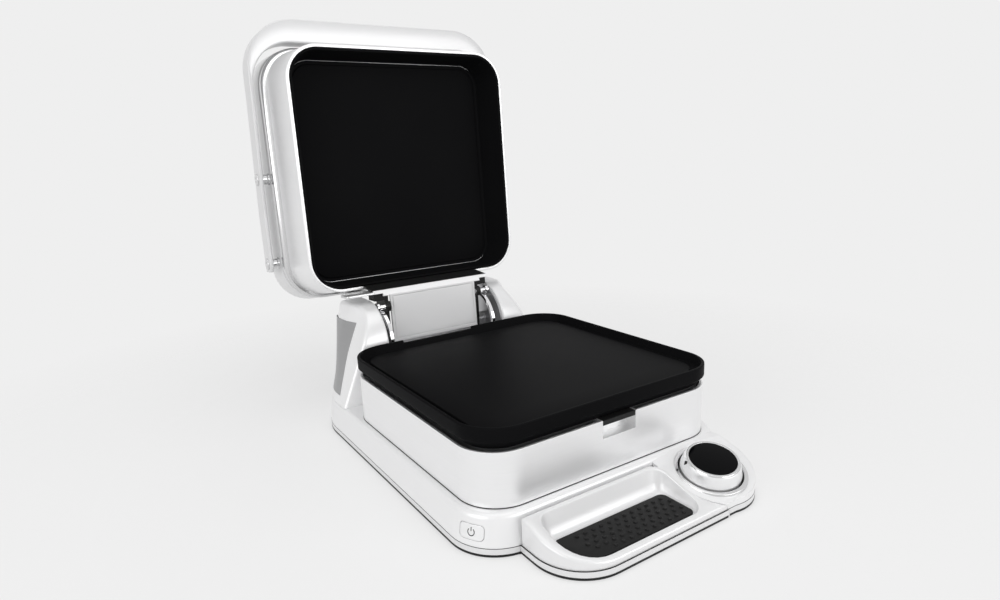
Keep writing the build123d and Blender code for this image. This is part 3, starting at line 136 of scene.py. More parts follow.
print("a plain ring has", len(rounded_ring(-HALF, HALF, -HALF, HALF, 40, 0)), "points")

# %% [markdown]
# ## From a mesh to a piece
# A piece is a mesh that rides on one CAD body, so that it moves with it, and has a look. The CAD model
# knows only some looks, its material slots, and the finer looks are made here.

# %% Make a piece
made = []


def finish_mesh(name, bm, body, look, replaces=(), sharp=38):
    """Makes a piece of a bmesh. Edges that turn by more than `sharp` degrees stay crisp."""
    mesh = bpy.data.meshes.new(name)
    bm.to_mesh(mesh)
    bm.free()
    mesh.shade_smooth()
    mesh.set_sharp_from_angle(angle=math.radians(sharp))
    mesh.materials.append(None)
    piece = bpy.data.objects.new(name, mesh)
    bpy.context.scene.collection.objects.link(piece)
    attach(piece, body)
    if replaces:
        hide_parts(*replaces)
    made.append((piece, look))


# %% [markdown]
# ## Stacks and turned pieces
# `stack` joins rings with quads, like the hoops of a barrel, and closes the ends with caps. `lathe`
# makes the rings by turning a profile about an axis, as a real lathe does. Both could be done with
# modifiers on drawn curves, but plain points keep every size in sight.

# %% Stack rings, turn profiles
SAME_PLACE = 1e-6  # metres between points that are merged


def stack(name, rings, body, look, replaces=(), matrix=still, caps=(True, True), loop=True, sharp=38):
    """Piece from rings of equal length, in millimetres, moved into place by a matrix."""
    place = to_metres @ matrix
    count = len(rings[0])
    bm = bmesh.new()
    verts = [[bm.verts.new(place @ Vector(p)) for p in ring] for ring in rings]
    for lower, upper in zip(verts, verts[1:]):
        for i in range(count if loop else count - 1):
            j = (i + 1) % count
            bm.faces.new((lower[i], lower[j], upper[j], upper[i]))
    if caps[0]:
        bm.faces.new(verts[0][::-1])
    if caps[1]:
        bm.faces.new(verts[-1])
    bmesh.ops.remove_doubles(bm, verts=bm.verts, dist=SAME_PLACE)
    bmesh.ops.recalc_face_normals(bm, faces=bm.faces)
    finish_mesh(name, bm, body, look, replaces, sharp)


def lathe(name, profile, centre, axis, body, look, steps=72, **options):
    """Turned piece: (radius, height) points swept round an axis. The options are those of `stack`."""
    turn = Vector((0, 0, 1)).rotation_difference(Vector(axis)).to_matrix()
    rings = []
    for radius, height in profile:
        ring = []
        for k in range(steps):
            a = 2 * math.pi * k / steps
            point = Vector((radius * math.cos(a), radius * math.sin(a), height))
            ring.append(Vector(centre) + turn @ point)
        rings.append(ring)
    stack(name, rings, body, look, **options)


print("a stack joins points closer than", SAME_PLACE, "m")

# %% [markdown]
# ## The lower plate
# This is a cast pan with a raised rim, a gutter inside it, and a low stretch of rim at the back where
# fat runs off. It could be cut out of a block with booleans, but a casting is soft at every edge. Here
# each point of its profile becomes one ring, and the run-off only presses the rim's points down.

# %% The lower plate
LOWER_CORNER = 40
UNDERSIDE, GUTTER, LOWER_FLOOR = -21, -9.5, -7
SPOUT_LEFT, SPOUT_RIGHT = -72.0, 21.0
SPOUT_DEPTH, SPOUT_REACH, SPOUT_RAMP = 3.2, 7, 0.6


def lower_ring(growth, z, cuts):
    """Ring round the lower plate, grown past its rim."""
    low, high = -HALF - growth, HALF + growth
    return rounded_ring(low, high, low, high, LOWER_CORNER + growth, z, 12, cuts)


lower_profile = fillet([
    (-14, UNDERSIDE, 0), (-9, UNDERSIDE, 0), (0, -12, 1.0), (0, 0, 1.1), (-3.0, 0, 0.8),
    (-5, GUTTER, 1.6), (-13, GUTTER, 1.2), (-13.8, LOWER_FLOOR, 0.7), (-40, LOWER_FLOOR, 0),
], 4)
spout_cuts = [
    60, SPOUT_RIGHT + SPOUT_RAMP, SPOUT_RIGHT, SPOUT_RIGHT - SPOUT_RAMP, 0,
    -40, SPOUT_LEFT + SPOUT_RAMP, SPOUT_LEFT, SPOUT_LEFT - SPOUT_RAMP, -90,
]
rings = [lower_ring(growth, z, spout_cuts) for growth, z in lower_profile]
for ring in rings:
    for i, (x, y, z) in enumerate(ring):
        if y > HALF - SPOUT_REACH and z > -SPOUT_DEPTH:
            inside = min(max(min(x - SPOUT_LEFT, SPOUT_RIGHT - x) / SPOUT_RAMP, 0), 1)
            ring[i] = (x, y, z + (-SPOUT_DEPTH - z) * inside)
stack("lower_plate_cast", rings, "base", "plate", ("lower_plate",))
print("lower plate:", len(rings), "rings, run-off", SPOUT_RIGHT - SPOUT_LEFT, "mm wide")

# %% [markdown]
# ## The upper plate
# The upper plate is a much deeper tray. Its four walls lean in by different amounts, the right one
# most, so each wall has its own line. The lines have equal numbers of points, and one ring is laid
# through the four points of each step.

# %% The upper plate
UPPER_CORNER = 34.5
COOKING, GROOVE, CAST_BACK = RIM + 33, RIM + 34.2, RIM + 36.4
LEANS = (-2.6, -11.9, -4.2, -1.8)  # how far the left, right, front and rear wall lean in
FLOOR_EDGES = (-6.6, -15.9, -8.2, -5.6)  # where the cooking face begins at these walls


def upper_line(lean, floor):
    """Profile of one wall, from the casting's back over the rim and down onto the cooking face."""
    return fillet([
        (lean - 20, CAST_BACK, 0), (lean, CAST_BACK, 0.5), (0, RIM + 6, 3.0), (0, RIM, 0.6),
        (-2.5, RIM, 0.8), (floor, GROOVE, 2.2), (floor - 4.6, GROOVE, 0.8),
        (floor - 5.0, COOKING, 0.6), (floor - 30, COOKING, 0),
    ], 4)


rings = []
for steps in zip(*map(upper_line, LEANS, FLOOR_EDGES)):
    (left, z), (right, _), (front, _), (rear, _) = steps
    rings.append(rounded_ring(
        -HALF - left, HALF + right, -HALF - front, HALF + rear, UPPER_CORNER + front, z, 12,
    ))
stack("upper_plate_cast", rings, "lid", "plate", ("upper_plate",), swing)
print("upper plate:", len(rings), "rings,", round(COOKING - RIM, 1), "mm deep")

# %% [markdown]
# ## Painted highlights on the upper plate
# Where the cooking face begins, a fine bright highlight shows on the groove's edge at the top and at the
# bottom, and here it is painted in as a bright metal thread. A bump or a colour mask would need to know
# where the edge is. A thin four-sided thread laid along the edge is simpler, and it fades out in the
# corners by getting thinner.

# %% Painted highlight threads
EDGE_POINTS, EDGE_THICK, EDGE_THIN, EDGE_FADE = 14, 0.42, 0.02, 5
SUNK = 0.1  # the thread's middle lies this deep in the cooking face's edge


def highlight_thread(name, first):
    """Painted highlight: a thread along one end of the cooking face, starting at a point of the ring round it."""
    left, right, front, rear = [edge + SUNK for edge in FLOOR_EDGES]
    ring = rounded_ring(
        -HALF - left, HALF + right, -HALF - front, HALF + rear, UPPER_CORNER + front, COOKING - SUNK, 12,
    )
    path = [Vector(point) for point in (ring + ring[:2])[first:first + EDGE_POINTS]]
    last = len(path) - 1
    sections = []
    for i, here in enumerate(path):
        way = (path[min(i + 1, last)] - path[max(i - 1, 0)]).normalized()
        thick = EDGE_THICK * min(i, last - i, EDGE_FADE) / EDGE_FADE + EDGE_THIN
        out, up = Vector((way.y, -way.x, 0)) * thick, Vector((0, 0, thick))
        sections.append([here + out, here - up, here - out, here + up])
    stack(name, sections, "lid", "painted_highlight_metal", matrix=swing)


# bright threads that paint in the highlight on the top and bottom edges of the cooking face
highlight_thread("floor_edge_top", 6)
highlight_thread("floor_edge_low", 32)
print("plates:", len(made), "pieces")

# %% [markdown]
# ## The lid's box
# The upper plate sits in a box of brushed sheet that widens towards the lid's back. Every shell of the
# lid is given by its margins past the plate: at the sides, at the front, at the hinge, and a corner
# radius. Two sets of margins at two heights make a flared wall, with no need to scale or shear it.

# %% The lid's box
MOUTH = (4.5, 4.5, 4.5, 40.0)
BOX_END = (10.0, 10.5, 14.0, 45.0)
BOX_HIGH = 66.5


def lid_ring(margins, growth, z):
    """Ring round the lid at a height above the shut plate's rim, grown past its margins."""
    side, front, rear, corner = margins
    return rounded_ring(
        -HALF - side - growth, HALF + side + growth, -HALF - front - growth, HALF + rear + growth,
        corner + growth, RIM + z, 12,
    )


def between(low, high, share):
    """Values part of the way from one set to another."""
    return tuple(a + (b - a) * share for a, b in zip(low, high))


box_line = fillet([
    (-3.6, 6.0, 0), (-3.6, 0.6, 0.5), (0.0, 0.6, 1.1), (0.0, 3.2, 0.8), (-0.9, 3.9, 0.4),
    (-0.9, 10.0, 0), (-0.9, 40.0, 0), (-0.9, BOX_HIGH - 0.1, 0),
], 4)
rings = [lid_ring(between(MOUTH, BOX_END, z / BOX_HIGH), growth, z) for growth, z in box_line]
stack("lid_box_wall", rings, "lid", "brushed", ("upper_housing",), swing, (False, False))
print("lid box:", len(rings), "rings,", BOX_HIGH, "mm high")

# %% [markdown]
# ## The lid's trim and cover
# A bright rounded band closes the box, and behind it lies the pearl silver cover with its full, soft
# shoulder. The cover swells outwards as it rises, so its rings go from one set of margins to a larger
# one while its profile turns in towards the middle.

# %% The lid's trim and cover
TRIM = (15.5, 13.0, 18.0, 47.5)
COVER = (16.0, 13.5, 18.5, 47.0)
SWELL = (18.6, 15.5, 27.0, 48.3)
TRIM_FROM, TRIM_TO = BOX_HIGH, 79.6
COVER_FROM, COVER_RISE = 80, 52

trim_line = fillet([
    (-8, TRIM_FROM, 0), (-2.5, TRIM_FROM, 1.0), (0.0, TRIM_FROM + 2.5, 2.5), (0.0, TRIM_TO - 1.6, 1.2),
    (-1.5, TRIM_TO, 0.6), (-10, TRIM_TO, 0),
], 4)
rings = [lid_ring(TRIM, growth, z) for growth, z in trim_line]
stack("lid_trim_band", rings, "lid", "bright", ("lid_trim",), swing, (False, False))

cover_line = fillet([
    (-6, COVER_FROM, 0), (-0.6, COVER_FROM, 0.5), (0, COVER_FROM + 1, 0.4), (0, 123, 12),
    (-14, 131, 10), (-60, 132.2, 0),
], 8)
rings = []
for growth, z in cover_line:
    rings.append(lid_ring(between(COVER, SWELL, (z - COVER_FROM) / COVER_RISE), growth, z))
for growth, z in ((-90, 133.2), (-120, 133.8), (-139, 134.0)):
    rings.append(lid_ring(SWELL, growth, z))
stack("lid_back_cover", rings, "lid", "lid_silver", ("lid_cover",), swing, (False, True))
print("lid shells:", len(made), "pieces so far")

# %% [markdown]
# ## The wire lug
# At its left end the hinge bracket grows into a flat lug under the lid's box, where the lid's wires go
# in. It is one flat plate with rounded corners, cut to a slanted outline. An extruded curve would do
# as well, but a stack of four outlines also gives it a softened front edge.

# %% The wire lug
LUG_BACK, LUG_FACE = 148.5, 146.0
LUG_MIDDLE = Vector((-94.0, -4.0))
lug_outline = fillet([
    (-79, -10, 0), (-79, 21, 1), (-88.5, 22, 3), (-105, 9, 5), (-115.5, -12, 5), (-114, -29.5, 4),
    (-79, -30, 1), (-79, -10, 0),
], 4)[:-1]
rings = []
for y, inset in ((LUG_BACK, 0.0), (LUG_FACE + 0.6, 0.0), (LUG_FACE + 0.15, 0.3), (LUG_FACE, 0.8)):
    ring = []
    for point in map(Vector, lug_outline):
        drawn_in = point + (LUG_MIDDLE - point).normalized() * inset
        ring.append((drawn_in.x, y, drawn_in.y))
    rings.append(ring)
stack("wire_lug", rings, "lid", "lug", matrix=swing)
print("wire lug:", LUG_BACK - LUG_FACE, "mm thick")

# %% [markdown]
# ## The handle's path
# The handle is a flat band that runs up both sides of the lid and across its front. In top view the
# front bar is much deeper than the two arms, so the band's inner and outer faces follow different
# lines. Half of it is listed as pairs of points, one on each face, and the other half is its mirror.

# %% The handle's path
ARM_IN, ARM_OUT, ARM_END = 165.5, 170.0, 118.5
BAR_IN, BAR_OUT = -157.5, -184.5
TURN_IN, TURN_OUT, TURN_STEPS = 50.0, 60.0, 24
ARM_STATIONS = [ARM_END, 117.5, 115, 112, 111, 100, 80, 60, 48, 45, 38, 20, 0, -20, -40, -60, -80, -95]


def handle_path():
    """Pairs of (inner, outer) points along half of the handle, from an arm's end to the middle."""
    pairs = [((ARM_IN, y), (ARM_OUT, y)) for y in ARM_STATIONS]
    inner_x, inner_y = ARM_IN - TURN_IN, BAR_IN + TURN_IN
    outer_x, outer_y = ARM_OUT - TURN_OUT, BAR_OUT + TURN_OUT
    for k in range(TURN_STEPS + 1):
        a = -math.pi / 2 * k / TURN_STEPS
        pairs.append((
            (inner_x + TURN_IN * math.cos(a), inner_y + TURN_IN * math.sin(a)),
            (outer_x + TURN_OUT * math.cos(a), outer_y + TURN_OUT * math.sin(a)),
        ))
    for x in (90, 60, 30, 0):
        pairs.append(((x, BAR_IN), (x, BAR_OUT)))
    return pairs


half_path = handle_path()
print("handle:", len(half_path), "stations on each side")

# %% [markdown]
# ## The handle's band
# In side view the band bends towards the plates on its way to the front. At each station a rounded
# rectangle is set between the two faces at the height of that bend. Sweeping one fixed section along a
# curve would be quicker, but it could not change its depth on the way.

# %% The handle's band
BAND = 26.5
ARM_LOW, BAR_LOW = 77.5, 61.0
BEND_FROM, BEND_LENGTH, LEVEL = 45.0, 169.0, 0.04
END_ROUND, EDGE_ROUND, EDGE_SHARE = 7, 1.9, 0.42


def band_edge(y):
    """Height of the band's lower edge. It is level on the arms and across the front bar."""
    share = min(max((BEND_FROM - y) / BEND_LENGTH, 0.0), 1.0)
    if share <= LEVEL or share >= 1 - LEVEL:
        share = round(share)
    return RIM + ARM_LOW + (BAR_LOW - ARM_LOW) * share


def handle_section(inner, outer):
    """Rounded rectangle between a point on the inner face and one on the outer face."""
    y = (inner[1] + outer[1]) / 2
    low = band_edge(y)
    high = low + BAND
    past = y - ARM_END + END_ROUND
    if past > 0:
        low += END_ROUND - math.sqrt(max(END_ROUND ** 2 - past ** 2, 0))
    inner, outer = Vector(inner), Vector(outer)
    width = (outer - inner).length
    way = (outer - inner) / width
    r = min(EDGE_ROUND, EDGE_SHARE * width)
    middles = (
        (r, low + r, 180), (width - r, low + r, 270), (width - r, high - r, 0), (r, high - r, 90),
    )
    ring = []
    for across, z, start in middles:
        for k in range(5):
            t = math.radians(start + 90 * k / 4)
            p = inner + way * (across + r * math.cos(t))
            ring.append((p.x, p.y, z + r * math.sin(t)))
    return ring


rings = [handle_section(inner, outer) for inner, outer in half_path]
mirrored = [[(-x, y, z) for x, y, z in ring] for ring in reversed(rings[:-1])]
replaced = ("handle", "handle_cover")
stack("handle_band", rings + mirrored, "lid", "handle_silver", replaced, swing, sharp=50)
print("handle band:", BAND, "mm wide, bends down by", ARM_LOW - BAR_LOW, "mm")

# %% [markdown]
# ## Spacers and screws
# Two bright spacers hold each arm off the lid's cover, and a large flat screw goes through each. They
# are turned parts, so a profile swept round an axis gives them exactly. The spacer starts a little
# inside the swelling cover, and no gap shows.

# %% Spacers and screws
SCREW_SPOTS = ((108.0, 90.75), (2.3, 86.6))
SPACER_R, HEAD_R, HEAD, SLOT_R = 7.2, 7.5, 1.6, 2.3

for side, side_name in ((-1, "left"), (1, "right")):
    for (y, above), row_name in zip(SCREW_SPOTS, ("low", "high")):
        name = side_name + "_" + row_name
        cover_x = HALF + between(COVER, SWELL, (above - COVER_FROM) / COVER_RISE)[0]
        centre, axis = (0, y, RIM + above), (side, 0, 0)
        spacer = fillet([
            (SPACER_R, cover_x - 3, 0), (SPACER_R, cover_x + 2, 0.5), (SPACER_R - 1, cover_x + 3, 0.4),
            (SPACER_R - 1, ARM_IN, 0),
        ], 3)
        screw = fillet([
            (2.0, ARM_IN, 0), (2.0, ARM_OUT, 0), (HEAD_R, ARM_OUT, 0), (HEAD_R, ARM_OUT + HEAD, 0.9),
            (SLOT_R + 0.3, ARM_OUT + HEAD, 0.2), (SLOT_R, ARM_OUT + 0.4, 0.1), (0.2, ARM_OUT + 0.4, 0),
        ], 3)
        lathe("spacer_" + name, spacer, centre, axis, "lid", "bright", 40, matrix=swing)
        lathe("screw_" + name, screw, centre, axis, "lid", "bright", 40, matrix=swing)
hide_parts("handle_spacers")
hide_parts("handle_screws")
print("handle done,", len(made), "pieces so far")

# %% [markdown]
# ## A tower's side view
# Each hinge tower is a leaning slab. Its side view has a straight front slope, a round top about the
# hinge, a short flat with a drop behind it, and an upright rear. The same line is drawn again further
# in for every ring, so that the tower's outer face can be filled from its edge to its middle.

# %% A tower's side view
TOWER_R, TOWER_FOOT = 50.5, 149.0
TOWER_FLAT, TOWER_DROP, TOWER_SOFT = 26.0, 22.0, 6.0
BASE_TOP = TABLE + 35.0
DROP_ANGLE = math.atan2(TOWER_DROP, TOWER_R - TOWER_FLAT)
FLAT_MOVES = math.tan(DROP_ANGLE / 2)  # how far a corner moves for each millimetre of inset
REAR_MOVES = math.tan(math.pi / 4 - DROP_ANGLE / 2)
SLOPE_STEPS, ROUND_STEPS, REAR_STEPS = 16, 24, 12


def tower_line(inset):
    """Side view of a tower as (y, z) points, from its front foot over the flat top to its rear foot."""
    radius = TOWER_R - inset
    foot = Vector((TOWER_FOOT + inset, BASE_TOP))
    middle = Vector((hinge_at.y, hinge_at.z))
    reach, rise = middle - foot
    touch = math.atan2(-rise, -reach) - math.acos(radius / math.hypot(reach, rise))
    start = middle + radius * Vector((math.cos(touch), math.sin(touch)))
    line = [foot.lerp(start, k / SLOPE_STEPS) for k in range(SLOPE_STEPS)]
    turn = touch % (2 * math.pi)
    for k in range(ROUND_STEPS + 1):
        a = turn + (math.pi / 2 - turn) * k / ROUND_STEPS
        line.append(middle + radius * Vector((math.cos(a), math.sin(a))))
    rear = fillet([
        (0, radius, 0), (TOWER_FLAT - FLAT_MOVES * inset, radius, TOWER_SOFT),
        (radius, TOWER_R - TOWER_DROP - REAR_MOVES * inset, TOWER_SOFT), (radius, BASE_TOP - middle.y, 0),
    ], 6)
    line += [middle + Vector(point) for point in rear[1:-1]]
    last, rear_foot = middle + Vector(rear[-2]), middle + Vector(rear[-1])
    rear_foot.x = last.x
    line += [last.lerp(rear_foot, k / REAR_STEPS) for k in range(1, REAR_STEPS + 1)]
    return line


print("tower outline:", len(tower_line(0)), "points")

# %% [markdown]
# ## A tower's outer face
# Seen from the front the outer face leans inwards. It is fuller near the top at the rear, and it turns
# round the base's rear corner. A formula for how far out the face lies at each point is easier to
# steer than a surface dragged by hand, and the inlay can use the same formula to lie on it.

# %% A tower's outer face
TOWER_IN = 81.0
FOOT_X, LEAN = 145.3, math.tan(math.radians(25.3))
FULL_FROM, FULL_OVER, FULL_ABOVE, FULL_LEAN, FULL_SOFT = 172.0, 45.0, -50.0, 0.2, 20.0
TURN_LOW, TURN_HIGH = 82.8, 14.0  # radius round the rear corner at the foot and at the top
LEAST_SLAB = 1.5


def tower_x(y, z):
    """How far out the outer face lies."""
    outer = FOOT_X - LEAN * (z - BASE_TOP)
    rearward = min(max((y - FULL_FROM) / FULL_OVER, 0), 1)
    rise = max(z - FULL_ABOVE, 0)
    outer += rearward * rearward * (3 - 2 * rearward) * FULL_LEAN * rise * rise / (rise + FULL_SOFT)
    share = (z - BASE_TOP) / (hinge_at.z + TOWER_R - BASE_TOP)
    radius = TURN_LOW + (TURN_HIGH - TURN_LOW) * share
    past = y - (hinge_at.y + TOWER_R - radius)
    if past > 0:
        outer -= radius - math.sqrt(max(radius * radius - past * past, 0))
    return max(outer, TOWER_IN + LEAST_SLAB)


print("outer face at the foot and at the hinge:", FOOT_X, round(tower_x(TOWER_FOOT, hinge_at.z), 1))

# %% [markdown]
# ## The towers
# A rounded border joins a tower's flat inner face to the leaning outer one. The rings start at the
# inner face, run round the border in five small steps, and then close in over the outer face.

# %% The towers
BORDER = [(0.0, 4.5), (0.35, 2.9), (1.3, 1.3), (2.9, 0.35), (4.5, 0.0)]  # inset, and depth below the face
FACE_INSETS = (9, 12.5, 16, 20, 24, 28, 32, 36, 40, 44, 49)


def tower(side, name, node):
    """One tower from its inner face to the middle of its outer face."""
    rings = []
    for x, inset in ((TOWER_IN, 1.0), (TOWER_IN + 0.6, 0.6), (TOWER_IN + 1.4, 0.0)):
        rings.append([(side * x, y, z) for y, z in tower_line(inset)])
    for inset, deep in BORDER:
        rings.append([(side * max(tower_x(y, z) - deep, TOWER_IN + 1.6), y, z) for y, z in tower_line(inset)])
    for inset in FACE_INSETS:
        rings.append([(side * tower_x(y, z), y, z) for y, z in tower_line(inset)])
    stack(name, rings, "base", "body_silver", (node,), sharp=30)


tower(-1, "hinge_tower_left", "tower_left")
tower(1, "hinge_tower_right", "tower_right")
print("towers done,", len(made), "pieces so far")

# %% [markdown]
# ## The inlays
# A thin plate of darker brushed metal is let into each tower's outer face. It is a grid of points laid
# on the face's formula, a little proud of it. The grid's outermost rows and columns stand at the same
# place as their neighbours but sunk into the tower, which gives the plate its edge.

# %% The inlays
INLAY_ROWS, INLAY_COLUMNS = 19, 25
INLAY_LOW, INLAY_HIGH = -61, 17
INLAY_FRONT, INLAY_CURVE, INLAY_REAR = HALF + 32, 16.5, 243.5
INLAY_PROUD, INLAY_SUNK = 0.4, -0.8


def grid_share(index, count):
    """Place from 0 to 1 of a row or column. The first and the last one share their neighbour's place."""
    return min(max((index - 1) / (count - 3), 0), 1)


def inlay(side, name, replaced):
    """Thin plate on a tower's outer face. Its front edge curves back as it rises."""
    rings = []
    for row in range(INLAY_ROWS):
        v = grid_share(row, INLAY_ROWS)
        z = INLAY_LOW + (INLAY_HIGH - INLAY_LOW) * v
        front = INLAY_FRONT + INLAY_CURVE * math.sin(math.pi / 2 * min(v / 0.7, 1))
        line = []
        for column in range(INLAY_COLUMNS):
            y = front + (INLAY_REAR - front) * grid_share(column, INLAY_COLUMNS)
            at_edge = row in (0, INLAY_ROWS - 1) or column in (0, INLAY_COLUMNS - 1)
            line.append((side * (tower_x(y, z) + (INLAY_SUNK if at_edge else INLAY_PROUD)), y, z))
        rings.append(line)
    stack(name, rings, "base", "inlay", replaced, caps=(False, False), loop=False, sharp=30)


inlay(-1, "inlay_left", ("tower_inlays",))
inlay(1, "inlay_right", ())
print("inlays done,", len(made), "pieces so far")

# %% [markdown]
# ## The housing's seam
# Where the plate housing stands on the base the real object shows a thin dark line. Painting it on
# would need a mask, so here a low black ring fills that joint.

# %% The housing's seam
HOUSING_HALF, HOUSING_CORNER, SEAM_HIGH = 138.5, 38.5, 0.7
rings = []
for growth, rise in ((-1.5, 0.0), (0.35, 0.0), (0.35, SEAM_HIGH), (-1.5, SEAM_HIGH)):
    low, high = -HOUSING_HALF - growth, HOUSING_HALF + growth
    rings.append(rounded_ring(low, high, low, high, HOUSING_CORNER + growth, BASE_TOP + rise, 12))
stack("housing_seam", rings, "base", "black_plastic", caps=(False, False))
print("housing seam:", SEAM_HIGH, "mm high")

# %% [markdown]
# ## The pan's outline
# The pan under the base ends in a black strip at the table, partly its own black underside and partly
# painted contact shadow, and a fine line parts it from the shell.
# Both follow the pan's own outline with its lobe and bay, which would be long to draw again. Instead
# the CAD mesh is cut with a level plane, and a walk along the cut gives the outline.

# %% Cut the pan and walk along the cut
JOINED = 1e-5  # metres between points of the CAD mesh that are taken as one


def level_cut(node, height):
    """Points of the outermost loop where a level plane cuts a CAD node above the table."""
    bm = bmesh.new()
    bm.from_mesh(frame["nodes"][node].data)
    bm.transform(frame["nodes"][node].matrix_world)
    bmesh.ops.remove_doubles(bm, verts=bm.verts, dist=JOINED)
    bmesh.ops.bisect_plane(
        bm, geom=bm.verts[:] + bm.edges[:] + bm.faces[:], plane_co=(0, 0, height / MM),
        plane_no=(0, 0, 1), clear_inner=True, clear_outer=True,
    )
    waiting = set(bm.verts)
    widest = []
    for start in bm.verts:
        if start not in waiting:
            continue
        loop, ahead = [], [start]
        while ahead:
            loop.append(ahead[0])
            waiting.discard(ahead[0])
            ahead = [edge.other_vert(loop[-1]) for edge in loop[-1].link_edges]
            ahead = [vert for vert in ahead if vert in waiting]
        points = [((vert.co - origin) * MM).xy for vert in loop]
        if not widest or max(p.x for p in points) > max(p.x for p in widest):
            widest = points
    bm.free()
    return widest


cut = level_cut("base_pan", 5.0)
print("pan cut:", len(cut), "points")

# %% [markdown]
# ## An even outline
# The cut has its points where the CAD mesh happened to have edges: crowded on arcs, sparse on
# straights, and with a few small spikes. They are thinned, filled up to even steps and freed of spikes,
# and each point then gets the direction in which the outline grows.

# %% Make the outline even
CROWDED, STEP, SPIKE = 0.4, 2, 1.7  # closest points, wanted step in millimetres, sharpest turn in radians


def even_steps(points):
    """Closed line with crowded points left out and long stretches divided."""
    thinned = [points[0]]
    for point in points[1:]:
        if (point - thinned[-1]).length > CROWDED and (point - thinned[0]).length > CROWDED:
            thinned.append(point)
    even = []
    for here, onward in zip(thinned, thinned[1:] + thinned[:1]):
        parts = max(1, round((onward - here).length / STEP))
        even.extend(here.lerp(onward, k / parts) for k in range(parts))
    return even


def drop_spikes(points):
    """Takes points out of a closed line, one by one, until it no longer turns back on itself."""
    for i, point in enumerate(points):
        onward = points[(i + 1) % len(points)] - point
        if (point - points[i - 1]).angle(onward) > SPIKE:
            return drop_spikes(points[:i] + points[i + 1:])
    return points


def with_outward(points):
    """Pairs of a point and the step that moves it out by one millimetre, square to both neighbours."""
    count = len(points)
    area = sum(points[i - 1].cross(points[i]) for i in range(count))
    pairs = []
    for i, point in enumerate(points):
        before = (point - points[i - 1]).normalized()
        after = (points[(i + 1) % count] - point).normalized()
        out = Vector((before.y + after.y, -before.x - after.x)) / (1 + before.dot(after))
        pairs.append((point, out if area > 0 else -out))
    return pairs


pan_edge = with_outward(drop_spikes(even_steps(cut)))
print("pan outline:", len(pan_edge), "points")

# %% [markdown]
# ## Foot strip with painted contact shadow, and pan seam
# With the outline known, each strip is one small profile carried round it: a black plastic strip that
# meets the table, partly painted contact shadow under the base, and a dark line in the joint under the shell.

# %% Foot strip with painted contact shadow, and pan seam
SEAM_LOW, SEAM_TOP = 7.75, 8.2


def strip(name, profile):
    """Profile of (growth, height above the table) points carried round the pan."""
    rings = []
    for growth, z in profile:
        rings.append([(p.x + out.x * growth, p.y + out.y * growth, TABLE + z) for p, out in pan_edge])
    stack(name, rings, "base", "black_plastic", caps=(False, False))


# black strip at the table: partly the pan's black underside, partly painted contact shadow under the base
strip("foot_strip_and_contact_shade", [(-4.0, 1.3), (-1.2, 0.4), (-0.2, 0.4), (0.15, 0.8), (0.15, 2.7), (-0.4, 2.7)])
strip("pan_seam", [(-0.6, SEAM_LOW), (0.1, SEAM_LOW), (0.1, SEAM_TOP), (-0.6, SEAM_TOP)])
print("strips done,", len(made), "pieces so far")

# %% [markdown]
# ## The knob
# A brushed ring with a bright bezel turns round a glossy black disc that stands still, in a collar on
# the base's lobe. All four are turned parts. Their tilt and their middle come from the knob's joint, so
# that the ring turns true when the joint moves.

# %% The knob
knob_axis = Vector(joint["knob_turn"]["axis"])
knob_at = (Vector(joint["knob_turn"]["pos_m"]) - origin) * MM
GRIP_R, COLLAR_R, KNOB_STEPS = 27.5, 33.2, 96
OPEN_TURN = dict(caps=(False, False), sharp=30)

grip = fillet([
    (21.6, -6, 0), (26.0, -6, 0), (GRIP_R, -3, 1.0), (GRIP_R, 2.5, 1.5), (25.2, 11.0, 2.0), (24.6, 12.6, 0.5),
    (23.8, 12.9, 0.3), (23.4, 14.0, 0.6), (21.6, 13.9, 0.2), (21.6, 10, 0),
], 4)
bezel = fillet([(21.5, 12.2, 0), (21.5, 14.0, 0.3), (23.6, 14.0, 0.5), (24.4, 12.9, 0.3), (24.2, 12.2, 0)], 3)
disc = fillet([(21.2, 10.0, 0), (21.2, 13.6, 0.5), (0.2, 13.6, 0)], 4)
collar = fillet([
    (29.0, -9.5, 0), (29.0, 0.9, 0), (29.6, 1.8, 0.6), (32.5, 1.5, 0.8), (COLLAR_R, 0.2, 0.5),
    (COLLAR_R, -4, 0), (29.8, -4, 0),
], 4)
lathe(
    "knob_grip", grip, knob_at, knob_axis, "knob", "brushed", KNOB_STEPS,
    replaces=("knob_ring",), **OPEN_TURN,
)
lathe("knob_bezel", bezel, knob_at, knob_axis, "knob", "bright", KNOB_STEPS, **OPEN_TURN)
lathe("display_disc", disc, knob_at, knob_axis, "base", "display", KNOB_STEPS, replaces=("display_glass",))
lathe(
    "collar_ring", collar, knob_at, knob_axis, "base", "bright", KNOB_STEPS,
    replaces=("knob_collar",), **OPEN_TURN,
)
print("knob:", GRIP_R * 2, "mm across, collar", COLLAR_R * 2, "mm")

# %% [markdown]
# ## Marks on the knob
# A dark diamond on the ring points at a dark dot on the collar. A printed mark could be a colour mask,
# but a thin raised patch rides on its body like any piece, so the diamond turns with the ring.

# %% Marks on the knob
MARK_ANGLE = 150
DOT_RADIUS, DOT_HEIGHT = 31.0, 1.65
MARK_ROOT, MARK_LIFT = 0.3, 0.5
turn_knob = Vector((0, 0, 1)).rotation_difference(knob_axis).to_matrix()


def knob_point(radius, height, degrees):
    """Point given by its distance from the knob's axis, its height along it, and its angle about it."""
    a = math.radians(degrees)
    return knob_at + turn_knob @ Vector((radius * math.cos(a), radius * math.sin(a), height))


def raised_mark(name, points, body):
    """Thin patch whose points lie on the surface that it marks."""
    normal = (points[1] - points[0]).cross(points[2] - points[1]).normalized()
    if normal.dot(knob_axis) < 0:
        normal = -normal
    rings = [[p - normal * MARK_ROOT for p in points], [p + normal * MARK_LIFT for p in points]]
    stack(name, rings, body, "black_plastic")


